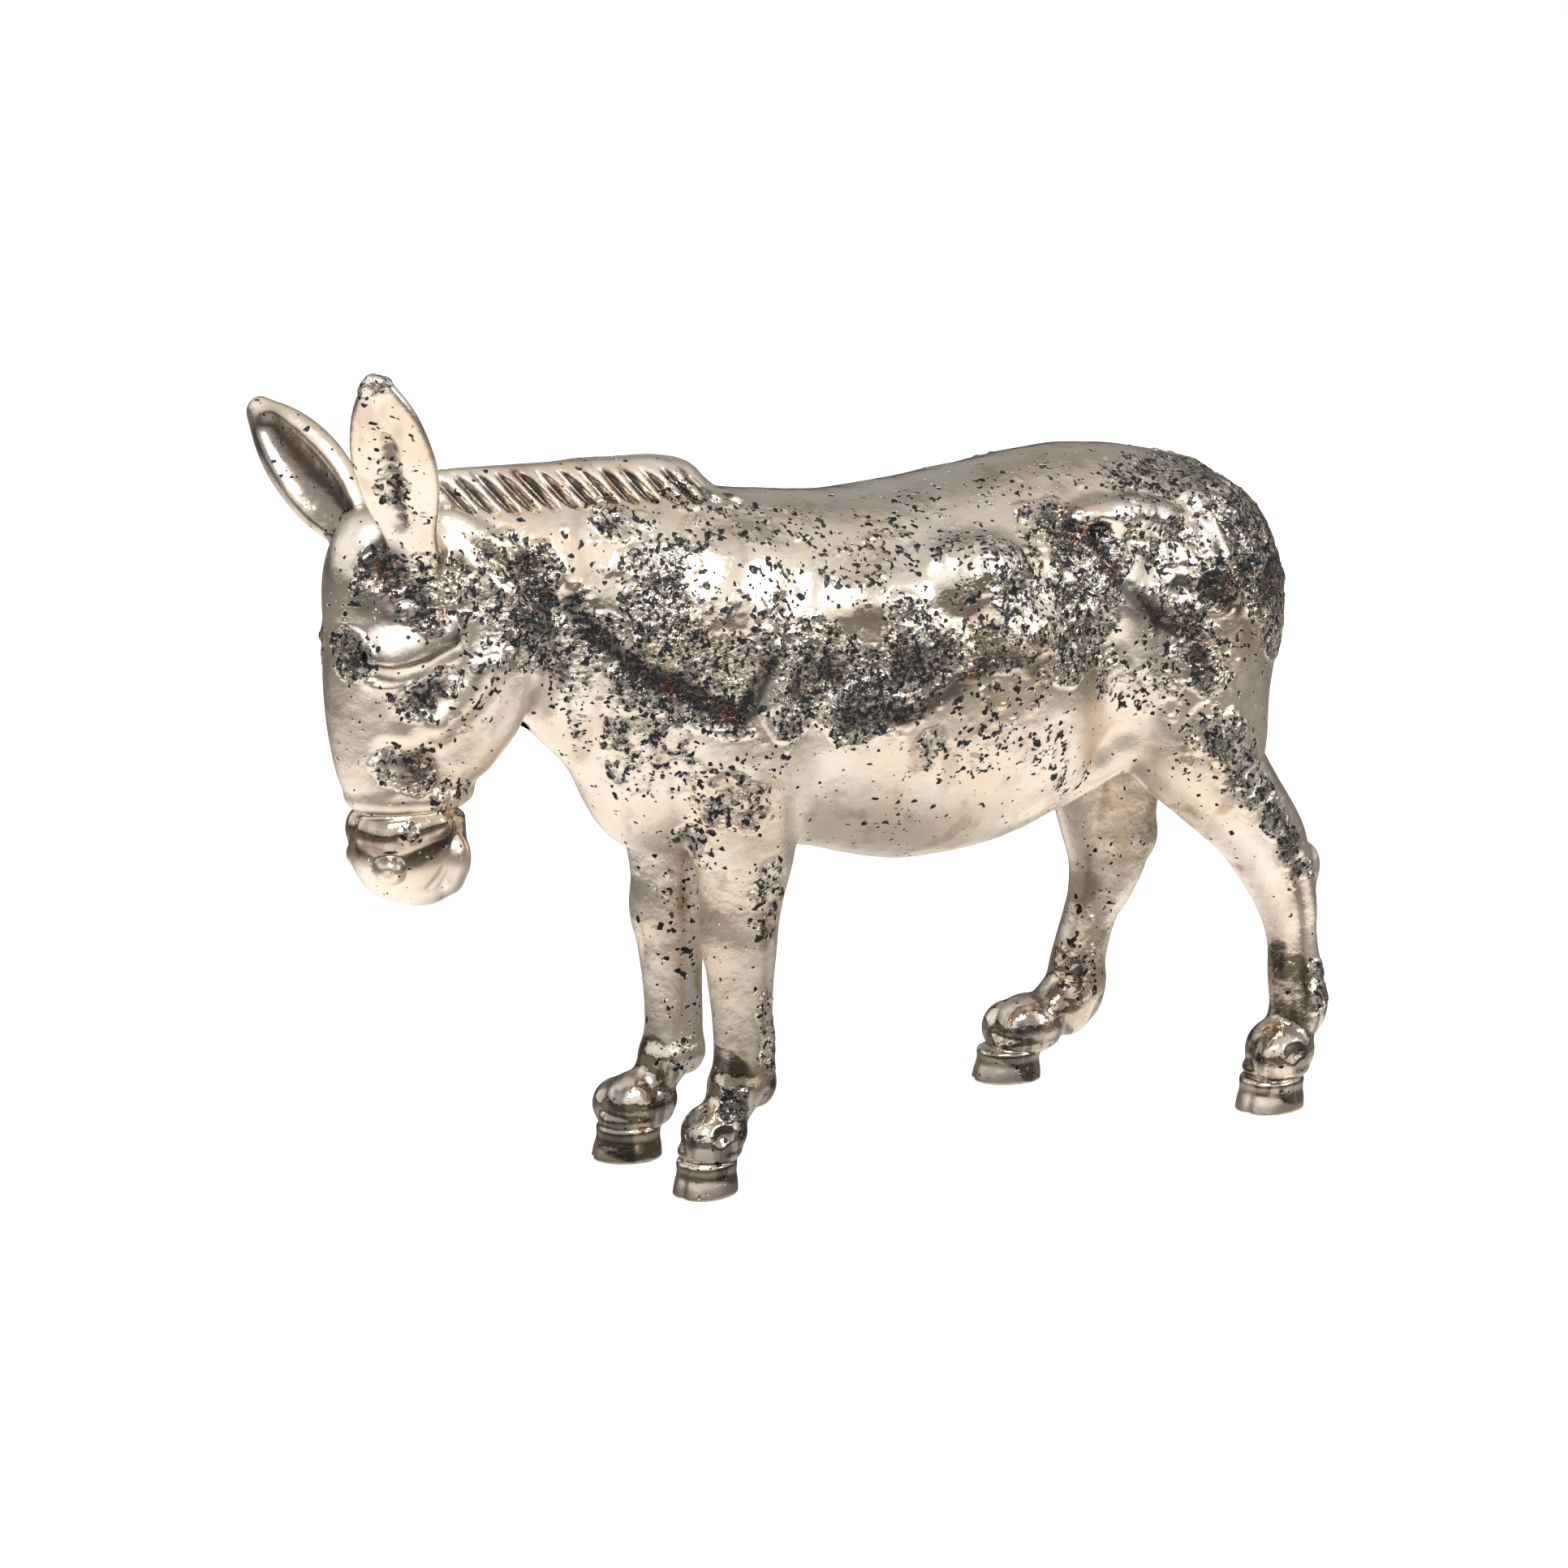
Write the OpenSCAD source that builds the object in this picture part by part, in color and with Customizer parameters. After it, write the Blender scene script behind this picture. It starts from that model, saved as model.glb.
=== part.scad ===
// Standing donkey figure in cast metal. The body and neck are hollow and split down the
// middle into two half shells. The head, muzzle, ears, mane, tail, legs and hooves are
// separate castings that are welded on and ground flush.
// +Z is up. The donkey faces -X, with its left side towards -Y. The origin is on the
// ground, at the centre of the figure's bounding box.

/* [Body] */
// Wall thickness of the two hollow body halves
wall = 4.5; // [3:0.5:6]
// Half width of the barrel at its widest
barrel_half_w = 47; // [42:1:48]
// Half width of the shoulders
shoulder_half_w = 37; // [34:1:40]
// Half width of the hips
hip_half_w = 40; // [37:1:43]

/* [Head] */
// Half width of the head across the eyes
brow_half_w = 20; // [18:0.5:22]
// Height at which the muzzle meets the head
muzzle_seam_z = 121; // [119:1:123]
// Length of the hollow in the front of each ear
ear_hollow_len = 40; // [34:1:44]
// Number of grooves down each side of the mane
mane_grooves = 12; // [8:1:14]

/* [Legs] */
// Sideways distance from the middle plane to each foreleg
foreleg_y = 19; // [17:1:21]
// How much further forward the right foreleg stands than the left
foreleg_stagger = 3; // [0:1:6]
// Height at which the forelegs meet the body
foreleg_seam_z = 99; // [96:1:101]
// Height at which the hind legs meet the body
hindleg_seam_z = 101; // [98:1:104]
// Height of each hoof
hoof_h = 10.5; // [9:0.5:11]
// Length of each hoof, from toe to heel
hoof_len = 23; // [21:0.5:25]
// Width of each hoof
hoof_w = 18; // [16:0.5:19]
// Angle by which the toes turn outwards
toe_out = 18; // [8:1:24]

/* [Hidden] */

// Facets round each egg-shaped section
facets = 22;
// Sides: -Y is the donkey's left, +Y is its right
left = -1;
right = 1;
// A block side larger than the whole figure, for cutting
big = 600;
// Polished metal, and the darker look of the hooves
metal = "#c9beb0";
metal_dark = "#a79c8f";

// ---- Shapes made of egg sections ---------------------------------------------------
// An egg is [x, y, z, radius along x, radius along y, radius along z].

module egg(e) {
    translate([e[0], e[1], e[2]])
        scale([e[3], e[4], e[5]])
            sphere(r = 1, $fn = facets);
}

// A limb is a chain of eggs, each joined to the next by a hull.
module limb(eggs) {
    for (i = [0 : len(eggs) - 2])
        hull() {
            egg(eggs[i]);
            egg(eggs[i + 1]);
        }
}

// The same limb, thinner all round by the wall thickness.
function thinned(eggs, t) = [for (e = eggs) [e[0], e[1], e[2], e[3] - t, e[4] - t, e[5] - t]];

// The same limb on the other side of the middle plane, and moved along x.
function on_side(eggs, side, dx = 0) = [
    for (e = eggs) [e[0] + dx, e[1] * side, e[2], e[3], e[4], e[5]]
];

// The two forelegs stand one stagger apart, half of it each way.
function foreleg_dx(side) = -side * foreleg_stagger / 2;

// ---- Egg sections of the legs, from the body down ----------------------------------

foreleg_eggs = [
    [-40, foreleg_y + 1, 104, 16, 12.5, 14],
    [-40.5, foreleg_y, 87, 12.5, 11, 10],
    [-41, foreleg_y, 72, 10.6, 10, 8],
    [-40.5, foreleg_y, 54, 9, 8.6, 7],
    [-40, foreleg_y, 40, 8.7, 8.4, 6],
    [-41, foreleg_y, 29, 9.6, 9, 5],
    [-45.5, foreleg_y + 0.5, 23, 10, 9, 6],
    [-50.5, foreleg_y + 1, 17, 10.5, 9.5, 8.5]
];

hindleg_left_eggs = [
    [114, 31.5, 107, 20.5, 13, 14],
    [129, 32, 92, 16.5, 11.5, 10],
    [136.5, 32, 81, 13.2, 10.5, 9],
    [143.5, 32, 65, 9.6, 8.8, 8],
    [146, 32, 53, 7.8, 7.4, 7],
    [147.5, 32, 41, 8.6, 8, 6],
    [149, 32, 29, 9.2, 8.8, 6],
    [146, 32, 21.5, 10, 9.2, 7],
    [142.5, 32.5, 16.5, 10.5, 9.6, 8.5]
];

hindleg_right_eggs = [
    [117, 29, 106, 20.5, 13, 14],
    [118, 30, 87, 18, 12, 10],
    [119, 30, 69, 13.5, 10.5, 8],
    [116.5, 30, 58, 10.5, 9.2, 7],
    [112.5, 30, 50, 8.6, 8.2, 6],
    [108.5, 30, 37, 9, 8.4, 6],
    [107, 30, 27, 10.5, 8.8, 7],
    [103, 30, 20, 14, 9.2, 7],
    [94, 30.5, 17, 13.5, 9.6, 8.5]
];

function foreleg_chain(side) = on_side(foreleg_eggs, side, foreleg_dx(side));

// ---- The body ----------------------------------------------------------------------

trunk_eggs = [
    [114, 0, 160, 33, hip_half_w - 5, 41],
    [92, 0, 157, 30, hip_half_w, 49],
    [70, 0, 152, 30, barrel_half_w - 2, 54],
    [46, 0, 146, 30, barrel_half_w, 57],
    [19, 0, 144, 30, barrel_half_w, 56],
    [-6, 0, 147, 28, barrel_half_w - 3, 52.5],
    [-30, 0, 150, 26, shoulder_half_w + 1, 52],
    [-50, 0, 155, 24, shoulder_half_w - 3, 50]
];

neck_eggs = [
    [-58, 0, 156, 22, shoulder_half_w - 6, 49],
    [-74, 0, 163, 18, 26, 43],
    [-90, 0, 171, 17, 21, 36],
    [-106, 0, 178, 16, 17.5, 29],
    [-118, 0, 183, 14, 16, 25]
];

chest_eggs = [
    [-52, 0, 140, 27, 25, 32],
    [-57, 0, 124, 22, 22, 26]
];

shoulder_eggs = [
    [-44, 22, 166, 22, 15, 28],
    [-40, 23, 135, 20, 14.5, 26]
];

thigh_left_eggs = [
    [113, 21, 157, 31, 21, 40],
    [110, 27, 136, 27, 18, 26],
    [110, 31, 118, 25, 14.5, 20],
    hindleg_left_eggs[0],
    hindleg_left_eggs[1]
];

thigh_right_eggs = [
    [113, 21, 157, 31, 21, 40],
    [112, 27, 136, 27, 18, 26],
    [115, 29, 116, 24, 14.5, 20],
    hindleg_right_eggs[0],
    hindleg_right_eggs[1]
];

// Everything that belongs to the body casting, before it is cut to its seams.
module body_form() {
    limb(trunk_eggs);
    limb(neck_eggs);
    limb(chest_eggs);
    above(foreleg_seam_z)
        for (side = [left, right])
            limb(concat(on_side(shoulder_eggs, side), foreleg_chain(side)));
    above(hindleg_seam_z) {
        limb(on_side(thigh_left_eggs, left));
        limb(on_side(thigh_right_eggs, right));
    }
}

module body_hollow() {
    limb(thinned(trunk_eggs, wall));
    limb(thinned(neck_eggs, wall));
}

module body_shell(side) {
    intersection() {
        difference() {
            body_form();
            body_hollow();
            in_front_of_neck_seam();
        }
        half_space(side);
    }
}

// ---- Cutting blocks ----------------------------------------------------------------

module half_space(side) {
    translate([0, side * big / 2, 0])
        cube(big, center = true);
}

module above(z) {
    intersection() {
        children();
        translate([0, 0, z + big / 2])
            cube(big, center = true);
    }
}

// The neck seam leans forward at the top, along the back of the jaw.
neck_seam_x = -111;
neck_seam_z = 180;
neck_seam_lean = 16;

module in_front_of_neck_seam() {
    translate([neck_seam_x, 0, neck_seam_z])
        rotate([0, -neck_seam_lean, 0])
            translate([-big / 2, 0, 0])
                cube(big, center = true);
}

module below(z) {
    translate([0, 0, z - big / 2])
        cube(big, center = true);
}

// ---- The head ----------------------------------------------------------------------

head_eggs = [
    [-129, 0, 193, 23, 15.5, 13],
    [-128, 0, 181, 29, brow_half_w - 2, 14],
    [-127.5, 0, 167, 30, brow_half_w - 1, 13],
    [-130, 0, 150, 28, 16, 13],
    [-132.5, 0, 136, 23.5, 14.5, 12],
    [-134, 0, 125, 18.5, 14, 9]
];

cheek_eggs = [
    [-116, 10, 180, 15, 8, 13],
    [-113, 11, 166, 15, 8.5, 14],
    [-117, 9.5, 150, 14, 8, 12],
    [-123, 8, 137, 12, 7, 9]
];

brow_eggs = [
    [-146, 12, 176, 6, 6.5, 4.5],
    [-138, 17, 172, 6, 5, 4.5],
    [-129, 17.5, 173, 5, 3, 3.5]
];

module head_form() {
    limb(head_eggs);
    for (side = [left, right]) {
        limb(on_side(cheek_eggs, side));
        limb(on_side(brow_eggs, side));
    }
}

muzzle_eggs = [
    [-134.5, 0, 118, 17, 14, 6],
    [-135, 0, 113, 18, 14.8, 9],
    [-135, 0, 109, 18, 15, 11],
    [-134, 0, 106, 17, 14.5, 12.5],
    [-136, 0, 105, 14, 12.5, 12.5]
];

nostril = [-144, 9, 108, 5.5, 5, 4];
lip_eggs = [
    [-124, 3.5, 105, 7, 7, 6],
    [-128, 4.5, 101, 8, 7.5, 5.5],
    [-135, 6, 98, 9, 6, 5]
];

module muzzle_form() {
    limb(muzzle_eggs);
    for (side = [left, right]) {
        egg([nostril[0], side * nostril[1], nostril[2], nostril[3], nostril[4], nostril[5]]);
        limb(on_side(lip_eggs, side));
    }
}

// ---- The ears ----------------------------------------------------------------------

// Each ear is a leaf that stands on its root. It is twisted about its own length, so that
// its hollow faces forwards and outwards, and then turned to where it points.
ear_root_left = [-142, -15, 194];
ear_turn_left = [18, -15, 0];
ear_twist_left = 50;
ear_root_right = [-138.5, 9, 192];
ear_turn_right = [-43, -27, 0];
ear_twist_right = 45;

ear_leaf = [
    [0, 0, 0, 7, 7, 7],
    [0, 0, 9, 6.5, 9.5, 7],
    [0, 0, 20, 6, 12, 8],
    [0, 0, 33, 5.5, 12, 8],
    [0, 0, 45, 4.5, 9, 7],
    [0, 0, 54, 3, 4.5, 4]
];

ear_groove = [
    [-9, 0, 12, 7, 4.5, 8],
    [-9, 0, 26, 8, 7.5, 10],
    [-7.5, 0, ear_hollow_len, 6, 5.5, 8]
];

module ear_form(root, turn, twist) {
    translate(root)
        rotate(turn)
            rotate([0, 0, twist])
                difference() {
                    limb(ear_leaf);
                    limb(ear_groove);
                }
}

// ---- The mane ----------------------------------------------------------------------

mane_front_x = -122;
mane_back_x = -40;
mane_top_z = 214;
mane_half_w = 6.5;
mane_h = 22;
groove_lean = 32;
groove_r = 1.6;

mane_eggs = [
    [mane_front_x, 0, mane_top_z - 13, 6, mane_half_w - 2, 13],
    [mane_front_x + 24, 0, mane_top_z - 12, 6, mane_half_w, 13],
    [mane_back_x - 8, 0, mane_top_z - 13, 6, mane_half_w + 1, 13]
];

module mane_form() {
    pitch = (mane_back_x - mane_front_x) / (mane_grooves + 1);
    difference() {
        limb(mane_eggs);
        for (i = [1 : mane_grooves])
            for (side = [left, right])
                translate([mane_front_x + i * pitch, side * mane_half_w, mane_top_z - 4])
                    rotate([side * 12, groove_lean, 0])
                        cylinder(r = groove_r, h = mane_h, center = true, $fn = 6);
    }
}

// ---- The tail ----------------------------------------------------------------------

tail_eggs = [
    [135, 0, 186, 7, 5, 6],
    [142, 0, 176, 5, 4.5, 6],
    [146, 0, 160, 4.5, 4.5, 8],
    [147, 0, 140, 4.5, 5, 8],
    [146, 0, 118, 5.5, 6.5, 9],
    [145, 0, 98, 5.5, 6.5, 9],
    [144, 0, 84, 3.5, 4, 7],
    [143.5, 0, 76, 2, 2, 4]
];

// ---- The legs ----------------------------------------------------------------------

// A leg ends flat on top of its hoof, and its top fits against the body.
module leg(eggs, seam_z) {
    difference() {
        limb(eggs);
        translate([0, 0, seam_z + big / 2])
            cube(big, center = true);
        body_form();
        below(hoof_h);
    }
}

// ---- The hooves --------------------------------------------------------------------

function hoof_front_pos(side) = [-52.5 + foreleg_dx(side), side * (foreleg_y + 1)];

hoof_rear_left_pos = [139, -33];
hoof_rear_right_pos = [86.5, 31];
hoof_sides = 32;
hoof_bevel = 0.8;
heel_share = 0.86;

// The outline of a hoof: rounded at the toe, which points to -X, and flatter at the heel.
function hoof_outline(grow) = [
    for (i = [0 : hoof_sides - 1])
        let (a = 360 * i / hoof_sides, heel = cos(a) > 0 ? heel_share : 1)
        [cos(a) * (hoof_len / 2 + grow) * heel, sin(a) * (hoof_w / 2 + grow)]
];

module hoof(pos, side) {
    translate([pos[0], pos[1], 0])
        rotate([0, 0, -side * toe_out]) {
            linear_extrude(height = hoof_bevel)
                polygon(hoof_outline(-hoof_bevel));
            translate([0, 0, hoof_bevel])
                linear_extrude(height = hoof_h - hoof_bevel)
                    polygon(hoof_outline(0));
        }
}

// ---- The sub-parts -----------------------------------------------------------------

module body_left_shell() {
    color(metal)
        body_shell(left);
}

module body_right_shell() {
    color(metal)
        body_shell(right);
}

module head() {
    color(metal)
        difference() {
            intersection() {
                head_form();
                in_front_of_neck_seam();
            }
            below(muzzle_seam_z);
        }
}

module muzzle() {
    color(metal)
        intersection() {
            muzzle_form();
            below(muzzle_seam_z);
        }
}

module ear_left() {
    color(metal)
        difference() {
            ear_form(ear_root_left, ear_turn_left, ear_twist_left);
            head_form();
            body_form();
        }
}

module ear_right() {
    color(metal)
        difference() {
            ear_form(ear_root_right, ear_turn_right, ear_twist_right);
            head_form();
            body_form();
        }
}

module mane() {
    color(metal)
        difference() {
            mane_form();
            body_form();
            head_form();
        }
}

module tail() {
    color(metal)
        difference() {
            limb(tail_eggs);
            body_form();
        }
}

module foreleg_left() {
    color(metal)
        leg(foreleg_chain(left), foreleg_seam_z);
}

module foreleg_right() {
    color(metal)
        leg(foreleg_chain(right), foreleg_seam_z);
}

module hindleg_left() {
    color(metal)
        leg(on_side(hindleg_left_eggs, left), hindleg_seam_z);
}

module hindleg_right() {
    color(metal)
        leg(on_side(hindleg_right_eggs, right), hindleg_seam_z);
}

module hoof_front_left() {
    color(metal_dark)
        hoof(hoof_front_pos(left), left);
}

module hoof_front_right() {
    color(metal_dark)
        hoof(hoof_front_pos(right), right);
}

module hoof_rear_left() {
    color(metal_dark)
        hoof(hoof_rear_left_pos, left);
}

module hoof_rear_right() {
    color(metal_dark)
        hoof(hoof_rear_right_pos, right);
}

body_left_shell();
body_right_shell();
head();
muzzle();
ear_left();
ear_right();
mane();
tail();
foreleg_left();
foreleg_right();
hindleg_left();
hindleg_right();
hoof_front_left();
hoof_front_right();
hoof_rear_left();
hoof_rear_right();
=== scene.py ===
"""Looks of the cast metal donkey figure.

The whole figure is sculpted as one solid, described by the distance to its surface, from
egg-shaped sections. Each casting is then meshed on its own, given its rough cast skin,
and cut to the same seams as in the CAD model. Sculpt lengths are in millimetres in the
CAD frame: +Z is up, the donkey faces -X and its left side faces -Y. Meshes are in metres.
"""

import math

import bmesh
import bpy
import numpy as np
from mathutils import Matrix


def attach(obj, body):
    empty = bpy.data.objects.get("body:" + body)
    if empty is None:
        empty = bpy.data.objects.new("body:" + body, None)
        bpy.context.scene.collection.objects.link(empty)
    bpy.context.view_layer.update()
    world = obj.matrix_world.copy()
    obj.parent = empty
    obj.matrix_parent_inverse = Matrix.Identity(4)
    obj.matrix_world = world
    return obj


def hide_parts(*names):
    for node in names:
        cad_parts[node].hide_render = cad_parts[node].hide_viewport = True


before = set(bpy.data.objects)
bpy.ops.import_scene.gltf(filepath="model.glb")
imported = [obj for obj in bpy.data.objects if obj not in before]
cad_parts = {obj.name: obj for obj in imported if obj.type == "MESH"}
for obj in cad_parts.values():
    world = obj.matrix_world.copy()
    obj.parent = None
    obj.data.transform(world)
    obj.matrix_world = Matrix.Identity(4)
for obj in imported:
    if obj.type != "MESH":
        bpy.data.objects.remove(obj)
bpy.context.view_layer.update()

import openvdb
from mathutils import Matrix, Vector
from mathutils.kdtree import KDTree

MM = 0.001
FAR = 60.0
BAND = 4.0
SPLINE_STEPS = 4
CHUNK = 150000
LEFT, RIGHT = -1, 1

# ---- Distance to egg-shaped limbs ------------------------------------------------------
# An egg is (x, y, z, radius along x, radius along y, radius along z).


def curve_through(rows, steps=SPLINE_STEPS):
    """A smooth Catmull-Rom curve through rows of numbers, as more rows."""
    rows = np.array(rows, float)
    if len(rows) == 1:
        return rows
    padded = np.vstack([2 * rows[0] - rows[1], rows, 2 * rows[-1] - rows[-2]])
    made = []
    for i in range(1, len(padded) - 2):
        a, b, c, d = padded[i - 1 : i + 3]
        for step in range(steps):
            t = step / steps
            made.append(
                0.5 * (2 * b + (c - a) * t + (2 * a - 5 * b + 4 * c - d) * t**2
                       + (3 * b - a - 3 * c + d) * t**3)
            )
    made.append(rows[-1])
    return np.array(made)


def length(v):
    return np.sqrt(np.einsum("ij,ij->i", v, v))


def limb_distance(points, eggs):
    """Distance from points to a chain of eggs that flow into each other."""
    if len(eggs) == 1:
        found = np.repeat(eggs, len(points), 0)
    else:
        reach = np.stack([length((points - e[:3]) / e[3:]) for e in eggs])
        middle = np.clip(reach.argmin(0), 1, len(eggs) - 2) if len(eggs) > 2 else 0
        if len(eggs) > 2:
            column = np.arange(len(points))
            a, b, c = (reach[middle + s, column] for s in (-1, 0, 1))
            bend = a - 2 * b + c
            shift = 0.5 * (a - c) / np.where(bend > 1e-6, bend, 1e-6)
            at = middle + np.clip(shift, -1, 1)
        else:
            way = eggs[1, :3] - eggs[0, :3]
            at = np.clip(((points - eggs[0, :3]) @ way) / (way @ way), 0, 1)
        low = np.clip(np.floor(at).astype(int), 0, len(eggs) - 2)
        share = (at - low)[:, None]
        found = eggs[low] * (1 - share) + eggs[low + 1] * share
    q = points - found[:, :3]
    near = length(q / found[:, 3:])
    slope = length(q / found[:, 3:] ** 2)
    return near * (near - 1) / np.maximum(slope, 1e-6)


def smooth_union(a, b, k):
    h = np.clip(0.5 + 0.5 * (b - a) / k, 0, 1)
    return b * (1 - h) + a * h - k * h * (1 - h)


def smooth_cut(a, b, k):
    return -smooth_union(-a, b, k)


class Form:
    """A solid made of steps, each of which adds or cuts a limb with a blend of width k."""

    def __init__(self):
        self.steps = []

    def step(self, cut, eggs, k, sides, joined):
        eggs = np.array(eggs, float)
        for side in sides:
            rows = eggs.copy()
            rows[:, 1] *= side
            fine = rows if joined == "single" else curve_through(rows)
            reach = fine[:, 3:].max(0) if len(fine) == 1 else fine[:, 3:]
            low = (fine[:, :3] - reach).min(0) - k - BAND
            high = (fine[:, :3] + reach).max(0) + k + BAND
            self.steps.append((cut, fine, k, low, high, False))

    def add(self, eggs, k=4.0, sides=(1,), joined="curve"):
        self.step(False, eggs, k, sides, joined)

    def cut(self, eggs, k=2.0, sides=(1,), joined="curve"):
        self.step(True, eggs, k, sides, joined)

    def add_shape(self, function, low, high, k, cut=False):
        """Adds or cuts a shape given by its own distance function, inside a box."""
        margin = k + BAND
        low, high = np.array(low) - margin, np.array(high) + margin
        self.steps.append((cut, function, k, low, high, True))

    def distance(self, points):
        made = np.full(len(points), FAR)
        for cut, shape, k, low, high, is_function in self.steps:
            near = np.flatnonzero(((points > low) & (points < high)).all(1))
            for start in range(0, len(near), CHUNK):
                part = near[start : start + CHUNK]
                if is_function:
                    d = shape(points[part])
                else:
                    d = limb_distance(points[part], shape)
                blend = smooth_cut if cut else smooth_union
                made[part] = blend(made[part], d, k)
        return made


BOTH = (LEFT, RIGHT)


def row_of(points, radii):
    """Eggs of the same radii, or one radius, at each point."""
    radii = [radii] * 3 if np.isscalar(radii) else list(radii)
    return [list(p) + radii for p in points]


# ---- The body --------------------------------------------------------------------------

TRUNK = [
    [114, 0, 160, 33, 35, 41],
    [92, 0, 157, 30, 40, 49],
    [70, 0, 152, 30, 45, 54],
    [46, 0, 146, 30, 47, 57],
    [19, 0, 144, 30, 47, 56],
    [-6, 0, 147, 28, 44, 52.5],
    [-30, 0, 150, 26, 38, 52],
    [-50, 0, 155, 23, 33, 50],
    [-70, 0, 162, 19, 27, 44.5],
    [-90, 0, 171, 17, 21, 36],
    [-106, 0, 178, 16, 17.5, 29],
    [-120, 0, 184, 13, 15.5, 24],
]
CHEST = [[-52, 0, 140, 27, 25, 32], [-57, 0, 124, 22, 22, 26]]
SHOULDER = [[-44, 21, 166, 22, 15, 28], [-40, 22, 135, 20, 14.5, 26]]
FORELEG = [
    [-40, 20, 104, 15.5, 12.5, 14],
    [-40.5, 19, 87, 12.3, 11, 10],
    [-41, 19, 72, 10.6, 10, 8],
    [-40.5, 19, 54, 9, 8.6, 7],
    [-40, 19, 40, 8.7, 8.4, 6],
    [-41, 19, 31, 9.3, 8.8, 5],
]
PASTERN = [
    [-41, 19, 31, 9, 8.6, 5],
    [-44.5, 19.4, 25.5, 8, 7.6, 4],
    [-47, 19.6, 22, 7.5, 7.4, 4],
]
HINDLEG_LEFT = [
    [113, 30.5, 110, 20.5, 13.5, 14],
    [129, 32, 92, 16.2, 11.5, 10],
    [136.5, 32, 81, 13.2, 10.5, 9],
    [143.5, 32, 65, 9.6, 8.8, 8],
    [146, 32, 53, 7.8, 7.4, 7],
    [147.5, 32, 41, 8.6, 8, 6],
    [149, 32, 31, 9, 8.4, 6],
    [146, 32, 23, 8, 7.8, 5],
]
HINDLEG_RIGHT = [
    [117, 29, 107, 20.5, 13.5, 14],
    [118, 30, 87, 18, 12, 10],
    [119, 30, 69, 13.5, 10.5, 8],
    [116.5, 30, 58, 10.5, 9.2, 7],
    [112.5, 30, 50, 8.6, 8.2, 6],
    [108.5, 30, 37, 8.8, 8.2, 6],
    [107, 30, 28, 10, 8.6, 7],
    [100, 30, 22, 10, 8.2, 5],
]
THIGH_LEFT = [
    [113, 21, 157, 31, 20.5, 40],
    [110, 26.5, 136, 26.5, 18, 26],
    [110, 30, 120, 24, 15, 20],
]
THIGH_RIGHT = [
    [113, 21, 157, 31, 20.5, 40],
    [112, 26.5, 136, 26.5, 18, 26],
    [115, 29, 118, 24, 15, 20],
]
FORELEG_DX = {LEFT: 1.5, RIGHT: -1.5}


def moved(eggs, dx=0.0, dy=0.0, dz=0.0):
    return [[e[0] + dx, e[1] + dy, e[2] + dz] + list(e[3:]) for e in eggs]


def sculpt_body(form):
    form.add(TRUNK, k=1)
    form.add(CHEST, k=9)
    for side in BOTH:
        form.add(moved(SHOULDER + FORELEG, FORELEG_DX[side]), k=6, sides=(side,))
    form.add(THIGH_LEFT + HINDLEG_LEFT, k=7, sides=(LEFT,))
    form.add(THIGH_RIGHT + HINDLEG_RIGHT, k=7, sides=(RIGHT,))


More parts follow.
